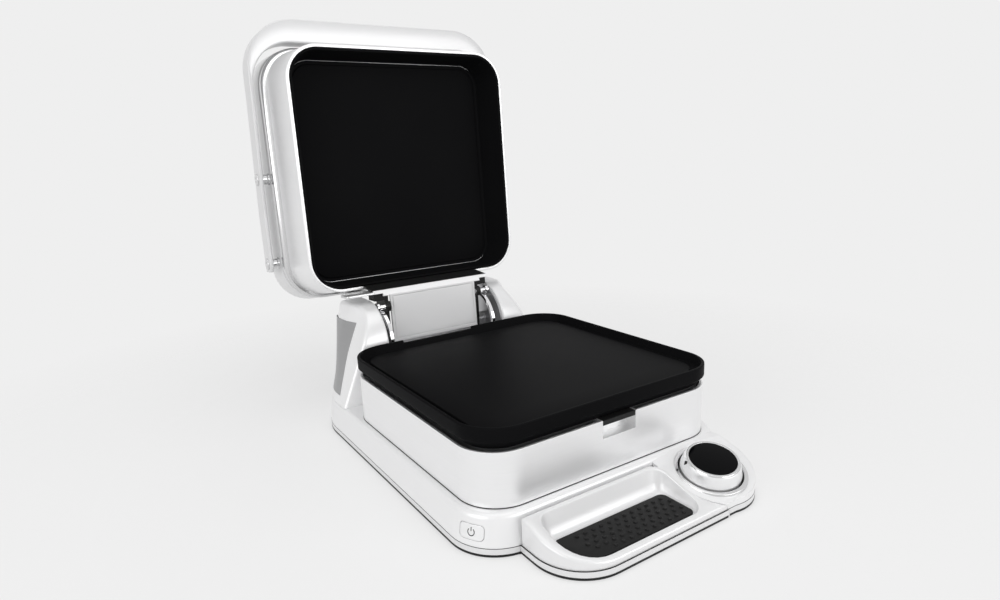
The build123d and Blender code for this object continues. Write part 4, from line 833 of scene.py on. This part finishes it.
diamond = [
    knob_point(25.1, 12.0, MARK_ANGLE), knob_point(26.2, 9.0, MARK_ANGLE + 4),
    knob_point(25.1, 12.0, MARK_ANGLE + 8), knob_point(24.3, 13.2, MARK_ANGLE + 4),
]
dot = []
for k in range(0, 360, 30):
    a = math.radians(k)
    dot.append(knob_point(DOT_RADIUS + math.cos(a), DOT_HEIGHT, MARK_ANGLE + 1.9 * math.sin(a)))
raised_mark("knob_pointer", diamond, "knob")
raised_mark("collar_mark", dot, "base")
print("knob done,", len(made), "pieces so far")

# %% [markdown]
# ## The drip tray's outlines
# The tray catches what runs off the plates. Its outline has a wide round corner at the front left and
# runs round the knob at the right, while its basin is a plain rounded rectangle.

# %% The drip tray's outlines
TRAY_LEFT, TRAY_FRONT, TRAY_REAR, TRAY_END = -111.5, -213.5, -150.8, 39.0
FRONT_CORNER, REAR_CORNER, BAY_R = 45.0, 12.0, 40.0
BAY = Vector((79.0, -179.0))  # middle of the bay round the knob
BASIN_TOP = (-101, 36, -208.5, -154.5, 32, 12)  # left, right, front, rear, front left corner, others
BASIN_FLOOR = (-95.5, 31.0, -206.2, -165.0, 28, 8)


def arc(centre, radius, start, end, steps):
    """Points on an arc, with its angles in radians."""
    angles = [start + (end - start) * k / steps for k in range(steps + 1)]
    return [Vector(centre) + Vector((radius * math.cos(a), radius * math.sin(a))) for a in angles]


def tray_loop(inset):
    """Flat outline of the tray, drawn in by an inset."""
    left, front, rear = TRAY_LEFT + inset, TRAY_FRONT + inset, TRAY_REAR - inset
    front_middle = (TRAY_LEFT + FRONT_CORNER, TRAY_FRONT + FRONT_CORNER)
    rear_middle = (TRAY_END - REAR_CORNER, TRAY_REAR - REAR_CORNER)
    bay_start = math.pi + math.asin((BAY.y - front) / (BAY_R + inset))
    points = [Vector((left, rear))]
    points += arc(front_middle, FRONT_CORNER - inset, math.pi, math.pi * 1.5, 12)
    points += arc(BAY, BAY_R + inset, bay_start, math.pi, 16)
    points += arc(rear_middle, REAR_CORNER - inset, 0, math.pi / 2, 8)
    return points


def basin_ring(box, z=0):
    """Ring of the basin or of the mat."""
    left, right, front, rear, big, small = box
    return rounded_ring(left, right, front, rear, (big, small, small, small), z, 8)


def grown(box, by):
    """The same rounded rectangle, larger on all sides."""
    left, right, front, rear, big, small = box
    return left - by, right + by, front - by, rear + by, big + by, small + by


print("tray outline:", len(tray_loop(0)), "points, basin:", len(basin_ring(BASIN_TOP)), "points")

# %% [markdown]
# ## Matching the tray's rings
# A stack needs the same number of points in each ring, but the two outlines differ. Both are therefore
# seen from one middle point: at every angle a ray finds each outline, and rings made from the same rays
# match point by point. The angles are those of the outlines' own points, so no corner is cut off.

# %% Match the tray's rings
MIDDLE = Vector((-32.0, -183.0))
PARALLEL = 1e-9
MISS = 1e-6  # how far past an edge's end a ray may still meet it, as a share of the edge


def angle_of(point):
    """Direction of a point from the middle, rounded so that equal directions count once."""
    return round(math.atan2(point[1] - MIDDLE.y, point[0] - MIDDLE.x), 5)


def ray_hit(loop, angle):
    """Where the ray from the middle at an angle leaves a closed outline."""
    way = Vector((math.cos(angle), math.sin(angle)))
    furthest = 0.0
    for a, b in zip(loop, loop[1:] + loop[:1]):
        edge, gap = b - a, a - MIDDLE
        cross = way.cross(edge)
        if abs(cross) < PARALLEL:
            continue
        along, share = gap.cross(edge) / cross, gap.cross(way) / cross
        if along > 0 and -MISS <= share <= 1 + MISS:
            furthest = max(furthest, along)
    return MIDDLE + way * furthest


def tray_ring(loop, height):
    """Ring of ray hits on an outline, at a height that depends on y."""
    hits = [ray_hit(loop, angle) for angle in angles]
    return [(p.x, p.y, height(p.y)) for p in hits]


angles = sorted({angle_of(point) for point in tray_loop(0) + basin_ring(BASIN_TOP)})
print("the tray's rings have", len(angles), "points each")

# %% [markdown]
# ## The tray's shell
# The tray's top slopes down to the front. The rings climb the outer wall, roll over the edge, cross the
# flat rim and sink into the basin in a soft S curve to its level floor.

# %% The tray's shell
TRAY_FOOT, FLOOR_Z = TABLE + 8.3, TABLE + 11.0
TOP_REAR, TOP_SLOPE = TABLE + 33.2, math.tan(math.radians(17.6))
EDGE_ROLL = ((0.0, 2.2), (0.25, 1.0), (0.8, 0.35), (1.7, 0.0))  # inset, drop
BASIN_CURVE = ((0, 0.03), (0.08, 0.16), (0.28, 0.52), (0.5, 0.80), (0.72, 0.94), (0.9, 0.99), (1, 1))
BASIN_LIP = 1.4


def tray_top(y):
    """Height of the tray's sloping top."""
    return TOP_REAR + (y - TRAY_REAR) * TOP_SLOPE


def outline_of(box):
    """Flat points of a rounded rectangle."""
    return [Vector(point[:2]) for point in basin_ring(box)]


rings = [tray_ring(tray_loop(inset), lambda y: TRAY_FOOT) for inset in (1.5, 0)]
for inset, drop in EDGE_ROLL:
    rings.append(tray_ring(tray_loop(inset), lambda y: tray_top(y) - drop))
rings.append(tray_ring(outline_of(grown(BASIN_TOP, BASIN_LIP)), tray_top))
for share, sink in BASIN_CURVE:
    loop = outline_of(between(BASIN_TOP, BASIN_FLOOR, share))
    rings.append(tray_ring(loop, lambda y: tray_top(y) - (tray_top(y) - FLOOR_Z) * sink))
stack("tray_shell", rings, "tray", "tray_silver", ("drip_tray",), caps=(False, True), sharp=32)
print("tray:", len(rings), "rings, from", round(tray_top(TRAY_REAR) - TABLE, 1), "mm high at the rear")

# %% [markdown]
# ## The tray's mat
# A black rubber mat with small round nubs lies in the basin. The sheet is one more stack. The nubs are
# joined into one mesh in a loop, because dozens of separate pieces would be slow to handle, and an
# array could not leave out those that the mat's wide corner has no room for.

# %% The mat's sheet
MAT = (-93.8, 29.5, -205.0, -166.5, 26, 6)
MAT_TOP = TABLE + 13.0
rings = []
for inset, z in ((0, FLOOR_Z + 0.1), (0, MAT_TOP - 0.5), (0.15, MAT_TOP - 0.12), (0.5, MAT_TOP)):
    rings.append(basin_ring(grown(MAT, -inset), z))
stack("mat_sheet", rings, "tray", "rubber", ("tray_mat",))
print("mat:", MAT[1] - MAT[0], "x", MAT[3] - MAT[2], "mm")

# %% The mat's nubs
NUB_ROWS, NUB_COLUMNS, NUB_SIDES = 5, 12, 10
NUB_LEFT, NUB_REAR, NUB_ACROSS, NUB_BACK = -74.0, -173.0, 8.6, 6.6
NUB_LINE = ((1.9, -0.1), (1.8, 0.5), (1.2, 1.0))  # radius, height
CORNER_FREE = -62  # nubs of the front row start to the right of this


def add_nub(bm, x, y):
    """Adds one round nub to the mesh."""
    rings = []
    for radius, rise in NUB_LINE:
        points = arc((x, y), radius, 0, 2 * math.pi, NUB_SIDES)[:-1]
        rings.append([bm.verts.new(to_metres @ Vector((*p, MAT_TOP + rise))) for p in points])
    for lower, upper in zip(rings, rings[1:]):
        for k in range(NUB_SIDES):
            following = (k + 1) % NUB_SIDES
            bm.faces.new((lower[k], lower[following], upper[following], upper[k]))
    bm.faces.new(rings[-1])


nubs = bmesh.new()
for row in range(NUB_ROWS):
    for column in range(NUB_COLUMNS):
        x = NUB_LEFT + (column + row % 2 / 2) * NUB_ACROSS
        if x >= CORNER_FREE or row < NUB_ROWS - 1:
            add_nub(nubs, x, NUB_REAR - row * NUB_BACK)
print("nubs:", len(nubs.verts) // (NUB_SIDES * len(NUB_LINE)))
finish_mesh("mat_nubs", nubs, "tray", "rubber")

# %% [markdown]
# ## The sign on the power button
# The button carries the common power sign, a ring with a stroke. It lies on the base's leaning round
# corner, so a flat drawing would not fit. `button_point` bends flat points round that corner, and a
# narrow ribbon with a low rectangular section follows them.

# %% The power sign
CORNER_X, CORNER_Y, CORNER_R = -105.5, -105.0, 45.0
SHELL_FOOT, SHELL_HIGH, SHELL_LEAN = 8.0, 27.0, 5.2
BUTTON_ANGLE, BUTTON_UP = math.radians(208), 19.5
SIGN_R, SIGN_GAP, LINE_WIDTH, LINE_LOW, LINE_HIGH = 3.0, 38, 0.7, -0.2, 0.1


def button_point(along, above, lift):
    """Point on the base's leaning corner, given along and above the button's middle."""
    radius = CORNER_R - SHELL_LEAN * (BUTTON_UP + above - SHELL_FOOT) / SHELL_HIGH + lift
    a = BUTTON_ANGLE + along / radius
    return CORNER_X + radius * math.cos(a), CORNER_Y + radius * math.sin(a), TABLE + BUTTON_UP + above


def ribbon(name, path):
    """Thin raised line along flat (along, above) points on the button."""
    rings = []
    for i, here in enumerate(path):
        way = (path[min(i + 1, len(path) - 1)] - path[max(i - 1, 0)]).normalized()
        side = Vector((-way.y, way.x)) * LINE_WIDTH / 2
        near, far = here - side, here + side
        rings.append([
            button_point(*near, LINE_LOW), button_point(*near, LINE_HIGH),
            button_point(*far, LINE_HIGH), button_point(*far, LINE_LOW),
        ])
    stack(name, rings, "power_button", "black_plastic")


sweep = [math.radians(degrees) for degrees in range(SIGN_GAP, 360 - SIGN_GAP + 1, 12)]
ribbon("power_ring", [Vector((SIGN_R * math.sin(a), SIGN_R * math.cos(a))) for a in sweep])
ribbon("power_stroke", [Vector((0, above)) for above in (0.7, 2.2, 3.9)])
print("tray and signs done,", len(made), "pieces so far")

# %% [markdown]
# ## Shader sums
# A material is a tree of nodes, and its sums need one Math node for each step. `Sock` wraps a node's
# output socket and overloads the operators, so that `1 - mask` or `0.1 * cloud` reads like arithmetic
# and adds those nodes by itself. `Tree` makes every other node with one method.

# %% Sockets that add up
class Sock:
    """An output socket. Sums with it, or with a plain number, add Math nodes to its tree."""

    def __init__(self, tree, socket):
        self.tree, self.socket = tree, socket

    def _math(self, operation, a, b):
        return self.tree.node("ShaderNodeMath", {"operation": operation}, {0: a, 1: b})

    def __add__(self, other):
        return self._math("ADD", self, other)

    __radd__ = __add__

    def __sub__(self, other):
        return self._math("SUBTRACT", self, other)

    def __rsub__(self, other):
        return self._math("SUBTRACT", other, self)

    def __mul__(self, other):
        return self._math("MULTIPLY", self, other)

    __rmul__ = __mul__

    def larger(self, other):
        return self._math("MAXIMUM", self, other)


class Tree:
    """A node tree in which one method makes any node."""

    def __init__(self, tree):
        self.tree = tree

    def put(self, socket, value):
        """Links a Sock to an input socket, or sets a plain value on it."""
        if isinstance(value, Sock):
            self.tree.links.new(value.socket, socket)
        else:
            socket.default_value = value

    def node(self, kind, settings=None, sockets=None, out=0):
        """Makes a node, its settings first and then its sockets, and returns one output."""
        node = self.tree.nodes.new(kind)
        for key, value in (settings or {}).items():
            setattr(node, key, value)
        for key, value in (sockets or {}).items():
            self.put(node.inputs[key], value)
        return Sock(self, node.outputs[out]) if node.outputs else None


print("operators: + - *")

# %% [markdown]
# ## A material
# Each material is a Principled shader with plain values. A finish then adds what varies over the
# surface: a noise for cloudy, streaky or speckled metal, a little roughness that follows it, and a bump
# with softened edges. Noise is read in the object's own coordinates, so that it moves with the piece.

# %% Material tools
MIX_A, MIX_B, MIX_COLOR = 6, 7, 2  # a Mix node's two colour inputs and its colour output


def grey(value, blue=0.005):
    """A grey with a touch of blue, as bare or painted metal has."""
    return value, value, value + blue


class Mat(Tree):
    """A material: a Principled shader with plain values, to which a finish links what varies."""

    def __init__(self, name, color, roughness, metallic=0.0, **fixed):
        self.material = bpy.data.materials.new(name)
        self.material.use_nodes = True
        super().__init__(self.material.node_tree)
        self.shader = self.tree.nodes["Principled BSDF"]
        self.set(Base_Color=(*color, 1.0), Roughness=roughness, Metallic=metallic, **fixed)

    def set(self, **sockets):
        """Sets or links sockets of the shader. An underscore stands for a space."""
        for key, value in sockets.items():
            self.put(self.shader.inputs[key.replace("_", " ")], value)

    def noise(self, scale, detail=2.0, stretch=(1, 1, 1), rough=0.5):
        """Noise from 0 to 1. A stretch below 1 draws it out along that direction."""
        place = self.node("ShaderNodeTexCoord", out="Object")
        place = self.node("ShaderNodeMapping", {}, {"Vector": place, "Scale": stretch})
        sockets = {"Vector": place, "Scale": scale, "Detail": detail, "Roughness": rough}
        return self.node("ShaderNodeTexNoise", {}, sockets)

    def tint(self, mask, low, high):
        """Lets the colour run from one to another as the mask rises."""
        sockets = {"Factor": mask, MIX_A: (*low, 1.0), MIX_B: (*high, 1.0)}
        self.set(Base_Color=self.node("ShaderNodeMix", {"data_type": "RGBA"}, sockets, MIX_COLOR))

    def gloss(self, mask, low, high):
        """Lets the roughness run from low to high as the mask rises."""
        self.set(Roughness=low + (high - low) * mask)

    def bump(self, height, distance, strength, edge=None):
        """Bumps the surface, and rounds its edges by a radius in metres."""
        sockets = {"Height": height, "Distance": distance, "Strength": strength}
        if edge:
            sockets["Normal"] = self.node("ShaderNodeBevel", {"samples": 4}, {"Radius": edge})
        self.set(Normal=self.node("ShaderNodeBump", {}, sockets))


looks = {}
print("a middle grey:", grey(0.5))

# %% [markdown]
# ## Pearl silver paint
# The base, the towers, the lid's cover, the handle and the tray are painted in pearl silver. Real
# pearl paint is fine metal flake under clear lacquer: a little metal, a weak clear coat, a very slow
# cloud in the tone and a tiny flake in the bump. The lid's cover takes a darker copy, painted shade that
# keeps it from glaring under the top lamp, and the hinge's panel a lighter copy, painted light where the
# lid shades it. Other pieces differ a little in tone, as on the real object.

# %% Pearl silver paint
def painted(name, light, dark, rough, metal, edge=0.0012):
    mat = Mat(name, grey(light), rough, metal, Coat_Weight=0.25, Coat_Roughness=0.12)
    cloud = mat.noise(scale=9.0, detail=3.0)
    flake = mat.noise(scale=2600.0, detail=1.0)
    mat.tint(cloud, grey(dark), grey(light))
    mat.gloss(cloud, rough - 0.03, rough + 0.03)
    mat.bump(flake, distance=0.00003, strength=0.25, edge=edge)
    return mat.material


looks["body_silver"] = painted("pearl_silver", 0.92, 0.89, 0.34, 0.25)
# painted shade: a darker copy of pearl silver, so that the lid's cover does not glare under the top lamp
looks["lid_silver"] = painted("pearl_lid_painted_shade", 0.80, 0.77, 0.34, 0.25)
looks["tray_silver"] = painted("pearl_tray", 0.88, 0.84, 0.32, 0.2, 0.0004)
looks["handle_silver"] = painted("pearl_handle", 0.78, 0.75, 0.3, 0.2)
looks["base_silver"] = painted("pan_silver", 0.84, 0.80, 0.4, 0.2)
# painted light: a lighter copy of pearl silver for the hinge's panel and cover, which the lid shades
looks["panel"] = painted("pearl_panel_painted_light", 0.95, 0.93, 0.3, 0.15)
print("paints:", len(looks))

# %% [markdown]
# ## Brushed metal
# The plate housings, the knob's ring and the inlays are brushed: fine scratches all run one way. An
# anisotropic shader would catch the light the right way but can't be seen up close, so here a noise
# drawn out along the brushing makes the streaks in tone, gloss and bump.

# %% Brushed metal
UPRIGHT, SIDEWAYS = (0.15, 0.15, 6.0), (6.0, 0.15, 0.15)  # how the noise is squeezed in x, y and z


def brushed(name, light, dark, rough, stretch):
    mat = Mat(name, grey(light), rough, metallic=0.65)
    streak = mat.noise(scale=120.0, detail=4.0, stretch=stretch, rough=0.65)
    mat.tint(streak, grey(dark), grey(light))
    mat.gloss(streak, rough - 0.05, rough + 0.05)
    mat.bump(streak, distance=0.00002, strength=0.2, edge=0.0008)
    return mat.material


looks["brushed"] = brushed("brushed_wall", 0.93, 0.88, 0.34, UPRIGHT)
looks["inlay"] = brushed("inlay_metal", 0.38, 0.33, 0.34, UPRIGHT)
looks["lug"] = brushed("lug_metal", 0.66, 0.60, 0.3, SIDEWAYS)
print("looks so far:", len(looks))

# %% [markdown]
# ## Bright and plain metal
# Trim, spacers, screws and pins are polished or plated, and the inner parts are plain metal, as are the
# threads that paint highlights on the upper plate's edges. One finish serves all: full metal, a gloss that
# wears unevenly, and a bump so fine that it only breaks up the highlights.

# %% Bright and plain metal
def plain_metal(name, color, rough, edge=0.0005):
    mat = Mat(name, color, rough, metallic=1.0)
    mat.gloss(mat.noise(scale=60.0, detail=4.0), rough - 0.03, rough + 0.04)
    mat.bump(mat.noise(scale=900.0), distance=0.00001, strength=0.2, edge=edge)
    return mat.material


looks["bright"] = plain_metal("bright_trim", grey(0.66), 0.18)
looks["chrome"] = plain_metal("chrome", grey(0.80, 0.01), 0.09)
looks["steel"] = plain_metal("mill_steel", grey(0.45, 0.01), 0.35)
looks["brass"] = plain_metal("bush_brass", (0.60, 0.44, 0.20), 0.3)
# painted highlight: bright metal for the threads on the upper plate's cooking-face edges
looks["painted_highlight_metal"] = plain_metal("painted_highlight_metal", grey(0.75, 0.01), 0.3, 0.0002)
print("looks so far:", len(looks))

# %% [markdown]
# ## The plates' coating
# The cooking plates have a deep black non-stick coating, matt and slightly rough to the touch. It
# reflects hardly anything, so its specular level is nearly off, and a dense speckle in the bump
# spreads what is left.

# %% The plates' coating
def coated_plate():
    mat = Mat("nonstick", grey(0.005, 0.0005), 0.5, Specular_IOR_Level=0.02)
    cloud = mat.noise(scale=7.0, detail=4.0)
    mat.tint(cloud, grey(0.0035, 0.0005), grey(0.008, 0.0005))
    mat.gloss(cloud, 0.42, 0.54)
    mat.bump(mat.noise(scale=1500.0), distance=0.00005, strength=0.35, edge=0.0006)
    return mat.material


looks["plate"] = coated_plate()
print("looks so far:", len(looks))

# %% [markdown]
# ## Plastic, rubber and glass
# Moulded plastic, rubber and enamel have a fine grain that is cut into their moulds: one noise for a
# slightly lighter tone, the gloss and the bump. The display is smooth black glass, where only faint
# smears change the gloss.

# %% Plastic, rubber and glass
def grained(name, color, rough, grain=900.0, depth=0.00004):
    mat = Mat(name, color, rough, Specular_IOR_Level=0.2)
    fine = mat.noise(scale=grain)
    lighter = [value * 1.35 + 0.002 for value in color]
    mat.tint(fine, color, lighter)
    mat.gloss(fine, rough - 0.05, rough + 0.05)
    mat.bump(fine, distance=depth, strength=0.4, edge=0.0006)
    return mat.material


def black_glass():
    mat = Mat("black_glass", grey(0.002, 0.0005), 0.12, Specular_IOR_Level=0.05)
    smear = mat.noise(scale=30.0, detail=3.0)
    mat.gloss(smear, 0.06, 0.12)
    mat.bump(smear, distance=0.00001, strength=0.1)
    return mat.material


looks["black_plastic"] = grained("black_plastic", grey(0.012, 0), 0.45)
looks["black_steel"] = grained("black_enamel", grey(0.010, 0), 0.4, 1200.0, 0.00003)
looks["rubber"] = grained("mat_rubber", grey(0.006, 0), 0.55, 500.0, 0.00008)
looks["board"] = grained("circuit_board", (0.03, 0.12, 0.06), 0.5)
looks["display"] = black_glass()
print("looks in all:", len(looks))

# %% [markdown]
# ## Give every piece its look
# CAD nodes that still show take the look of their material slot, apart from the hinge's cover and
# panel, which take a lighter copy of the paint: painted light where the lid shades them. The pieces made
# here take the look they were given when they were made.

# %% Give every piece its look
node_look = {subpart["node"]: subpart["material_slot"] for subpart in frame["record"]["subparts"]}
# painted light: the hinge's cover and panel take the lighter copy of the paint
node_look.update(hinge_cover="panel", hinge_panel="panel")
for node, obj in frame["nodes"].items():
    obj.data.materials.clear()
    obj.data.materials.append(looks[node_look[node]])
for piece, look in made:
    piece.data.materials[0] = looks[look]
print("dressed:", len(frame["nodes"]), "CAD nodes and", len(made), "pieces")

# %% [markdown]
# ## The floor
# The object stands on a pale studio floor without a horizon. The floor is a wide disc that fades out
# with distance, so that no edge shows. Seen directly it also glows a little by itself, which keeps it
# as pale as the background while it still takes the object's shadow.

# %% The floor
FLOOR_RADIUS, FADE_FROM, FADE_TO = 3.0, 0.4, 0.8  # metres
FLOOR_GREY, GLOW_GREY, GLOW_SHARE = 0.94, 0.93, 0.55


def flat_color(value):
    return value, value, value, 1


def seen_rays(tree):
    """1 for what is seen, directly, mirrored or through glass, and 0 for light on its way to things."""
    rays = ("Is Camera Ray", "Is Glossy Ray", "Is Transmission Ray")
    camera_ray, glossy, through = [tree.node("ShaderNodeLightPath", out=ray) for ray in rays]
    return camera_ray.larger(glossy).larger(through)


def mix_shaders(tree, share, first, second):
    """Blends two shaders. A share of 0 is all of the first."""
    return tree.node("ShaderNodeMixShader", {}, {0: share, 1: first, 2: second})


bm = bmesh.new()
bmesh.ops.create_circle(bm, cap_ends=True, radius=FLOOR_RADIUS, segments=96)
floor_mesh = bpy.data.meshes.new("floor")
bm.to_mesh(floor_mesh)
bm.free()
floor = bpy.data.objects.new("floor", floor_mesh)
bpy.context.scene.collection.objects.link(floor)

paint = Mat("floor", grey(FLOOR_GREY, 0), 0.9, Specular_IOR_Level=0.0)
glow = paint.node("ShaderNodeEmission", {}, {"Color": flat_color(GLOW_GREY), "Strength": 1.0})
surface = mix_shaders(paint, GLOW_SHARE * seen_rays(paint), Sock(paint, paint.shader.outputs[0]), glow)
place = paint.node("ShaderNodeTexCoord", out="Object")
distance = paint.node("ShaderNodeVectorMath", {"operation": "LENGTH"}, {0: place}, "Value")
gone = (distance - FADE_FROM) * (1 / (FADE_TO - FADE_FROM))
kept = paint.node("ShaderNodeClamp", {}, {"Value": 1 - gone})
faded = mix_shaders(paint, kept, paint.node("ShaderNodeBsdfTransparent"), surface)
paint.put(paint.tree.nodes["Material Output"].inputs["Surface"], faded)
floor_mesh.materials.append(paint.material)
print("floor:", FLOOR_RADIUS * 2, "m across, gone at", FADE_TO, "m")

# %% [markdown]
# ## The background
# The world does two jobs. Seen directly or mirrored it is the pale background, and for all other rays
# it is a dimmer grey that fills the shadows. With one colour for both, either the background would be
# too dark or the object too bright.

# %% The background
SEEN_GREY, FILL_GREY = 0.863, 0.50
world = bpy.data.worlds.new("studio")
bpy.context.scene.world = world
world.use_nodes = True
world.node_tree.nodes.clear()
sky = Tree(world.node_tree)
fill = sky.node("ShaderNodeBackground", {}, {"Color": flat_color(FILL_GREY)})
seen = sky.node("ShaderNodeBackground", {}, {"Color": flat_color(SEEN_GREY)})
both = mix_shaders(sky, seen_rays(sky), fill, seen)
sky.node("ShaderNodeOutputWorld", {}, {"Surface": both})
print("background:", SEEN_GREY, "fill:", FILL_GREY)

# %% [markdown]
# ## The lamps
# Three large soft lamps light the object: one high above, which gives the broad light on lid and base,
# one from the left for the sides, and one low in front that opens the dark plates. Large area lamps
# make the soft edges of a studio, where small ones would throw hard shadows.

# %% The lamps
AIM = Vector((0, 0, 0.15))
LAMPS = {  # place in metres, width and height in metres, power in watts
    "top": ((0.1, -0.3, 3.2), (2.6, 2.6), 17),
    "left": ((-1.6, -0.5, 0.7), (1.2, 1.0), 8),
    "front": ((0.6, -1.7, 0.7), (1.4, 0.8), 9),
}

for name, (at, size, power) in LAMPS.items():
    light = bpy.data.lights.new(name, "AREA")
    light.shape = "RECTANGLE"
    light.size, light.size_y = size
    light.energy = power
    lamp = bpy.data.objects.new(name, light)
    lamp.location = at
    lamp.rotation_euler = (AIM - Vector(at)).to_track_quat("-Z", "Y").to_euler()
    bpy.context.scene.collection.objects.link(lamp)
print("lamps:", len(LAMPS))

# %% [markdown]
# ## The camera
# The camera stands where the photo was taken from. Its place, turn and lens were worked out from the
# straight edges and round corners of both plates, which is more certain than matching by eye.

# %% The camera
CAMERA_AT = Vector((-371.215, -532.262, 211.828))
CAMERA_TURN = [math.radians(angle) for angle in (76.907, 2.198, -33.499)]
IMAGE_WIDTH, FOCAL_PIXELS, SENSOR = 1000, 651.9546, 36.0

camera_data = bpy.data.cameras.new("camera")
camera_data.sensor_width = SENSOR
camera_data.lens = FOCAL_PIXELS / IMAGE_WIDTH * SENSOR
camera_data.clip_start = 0.01
camera = bpy.data.objects.new("camera", camera_data)
camera.matrix_world = Matrix.LocRotScale(origin + CAMERA_AT / MM, Euler(CAMERA_TURN), None)
bpy.context.scene.collection.objects.link(camera)
bpy.context.scene.camera = camera
bpy.context.scene.view_settings.view_transform = "Standard"
print("camera at", [round(v, 3) for v in camera.location], "lens", round(camera_data.lens, 2))
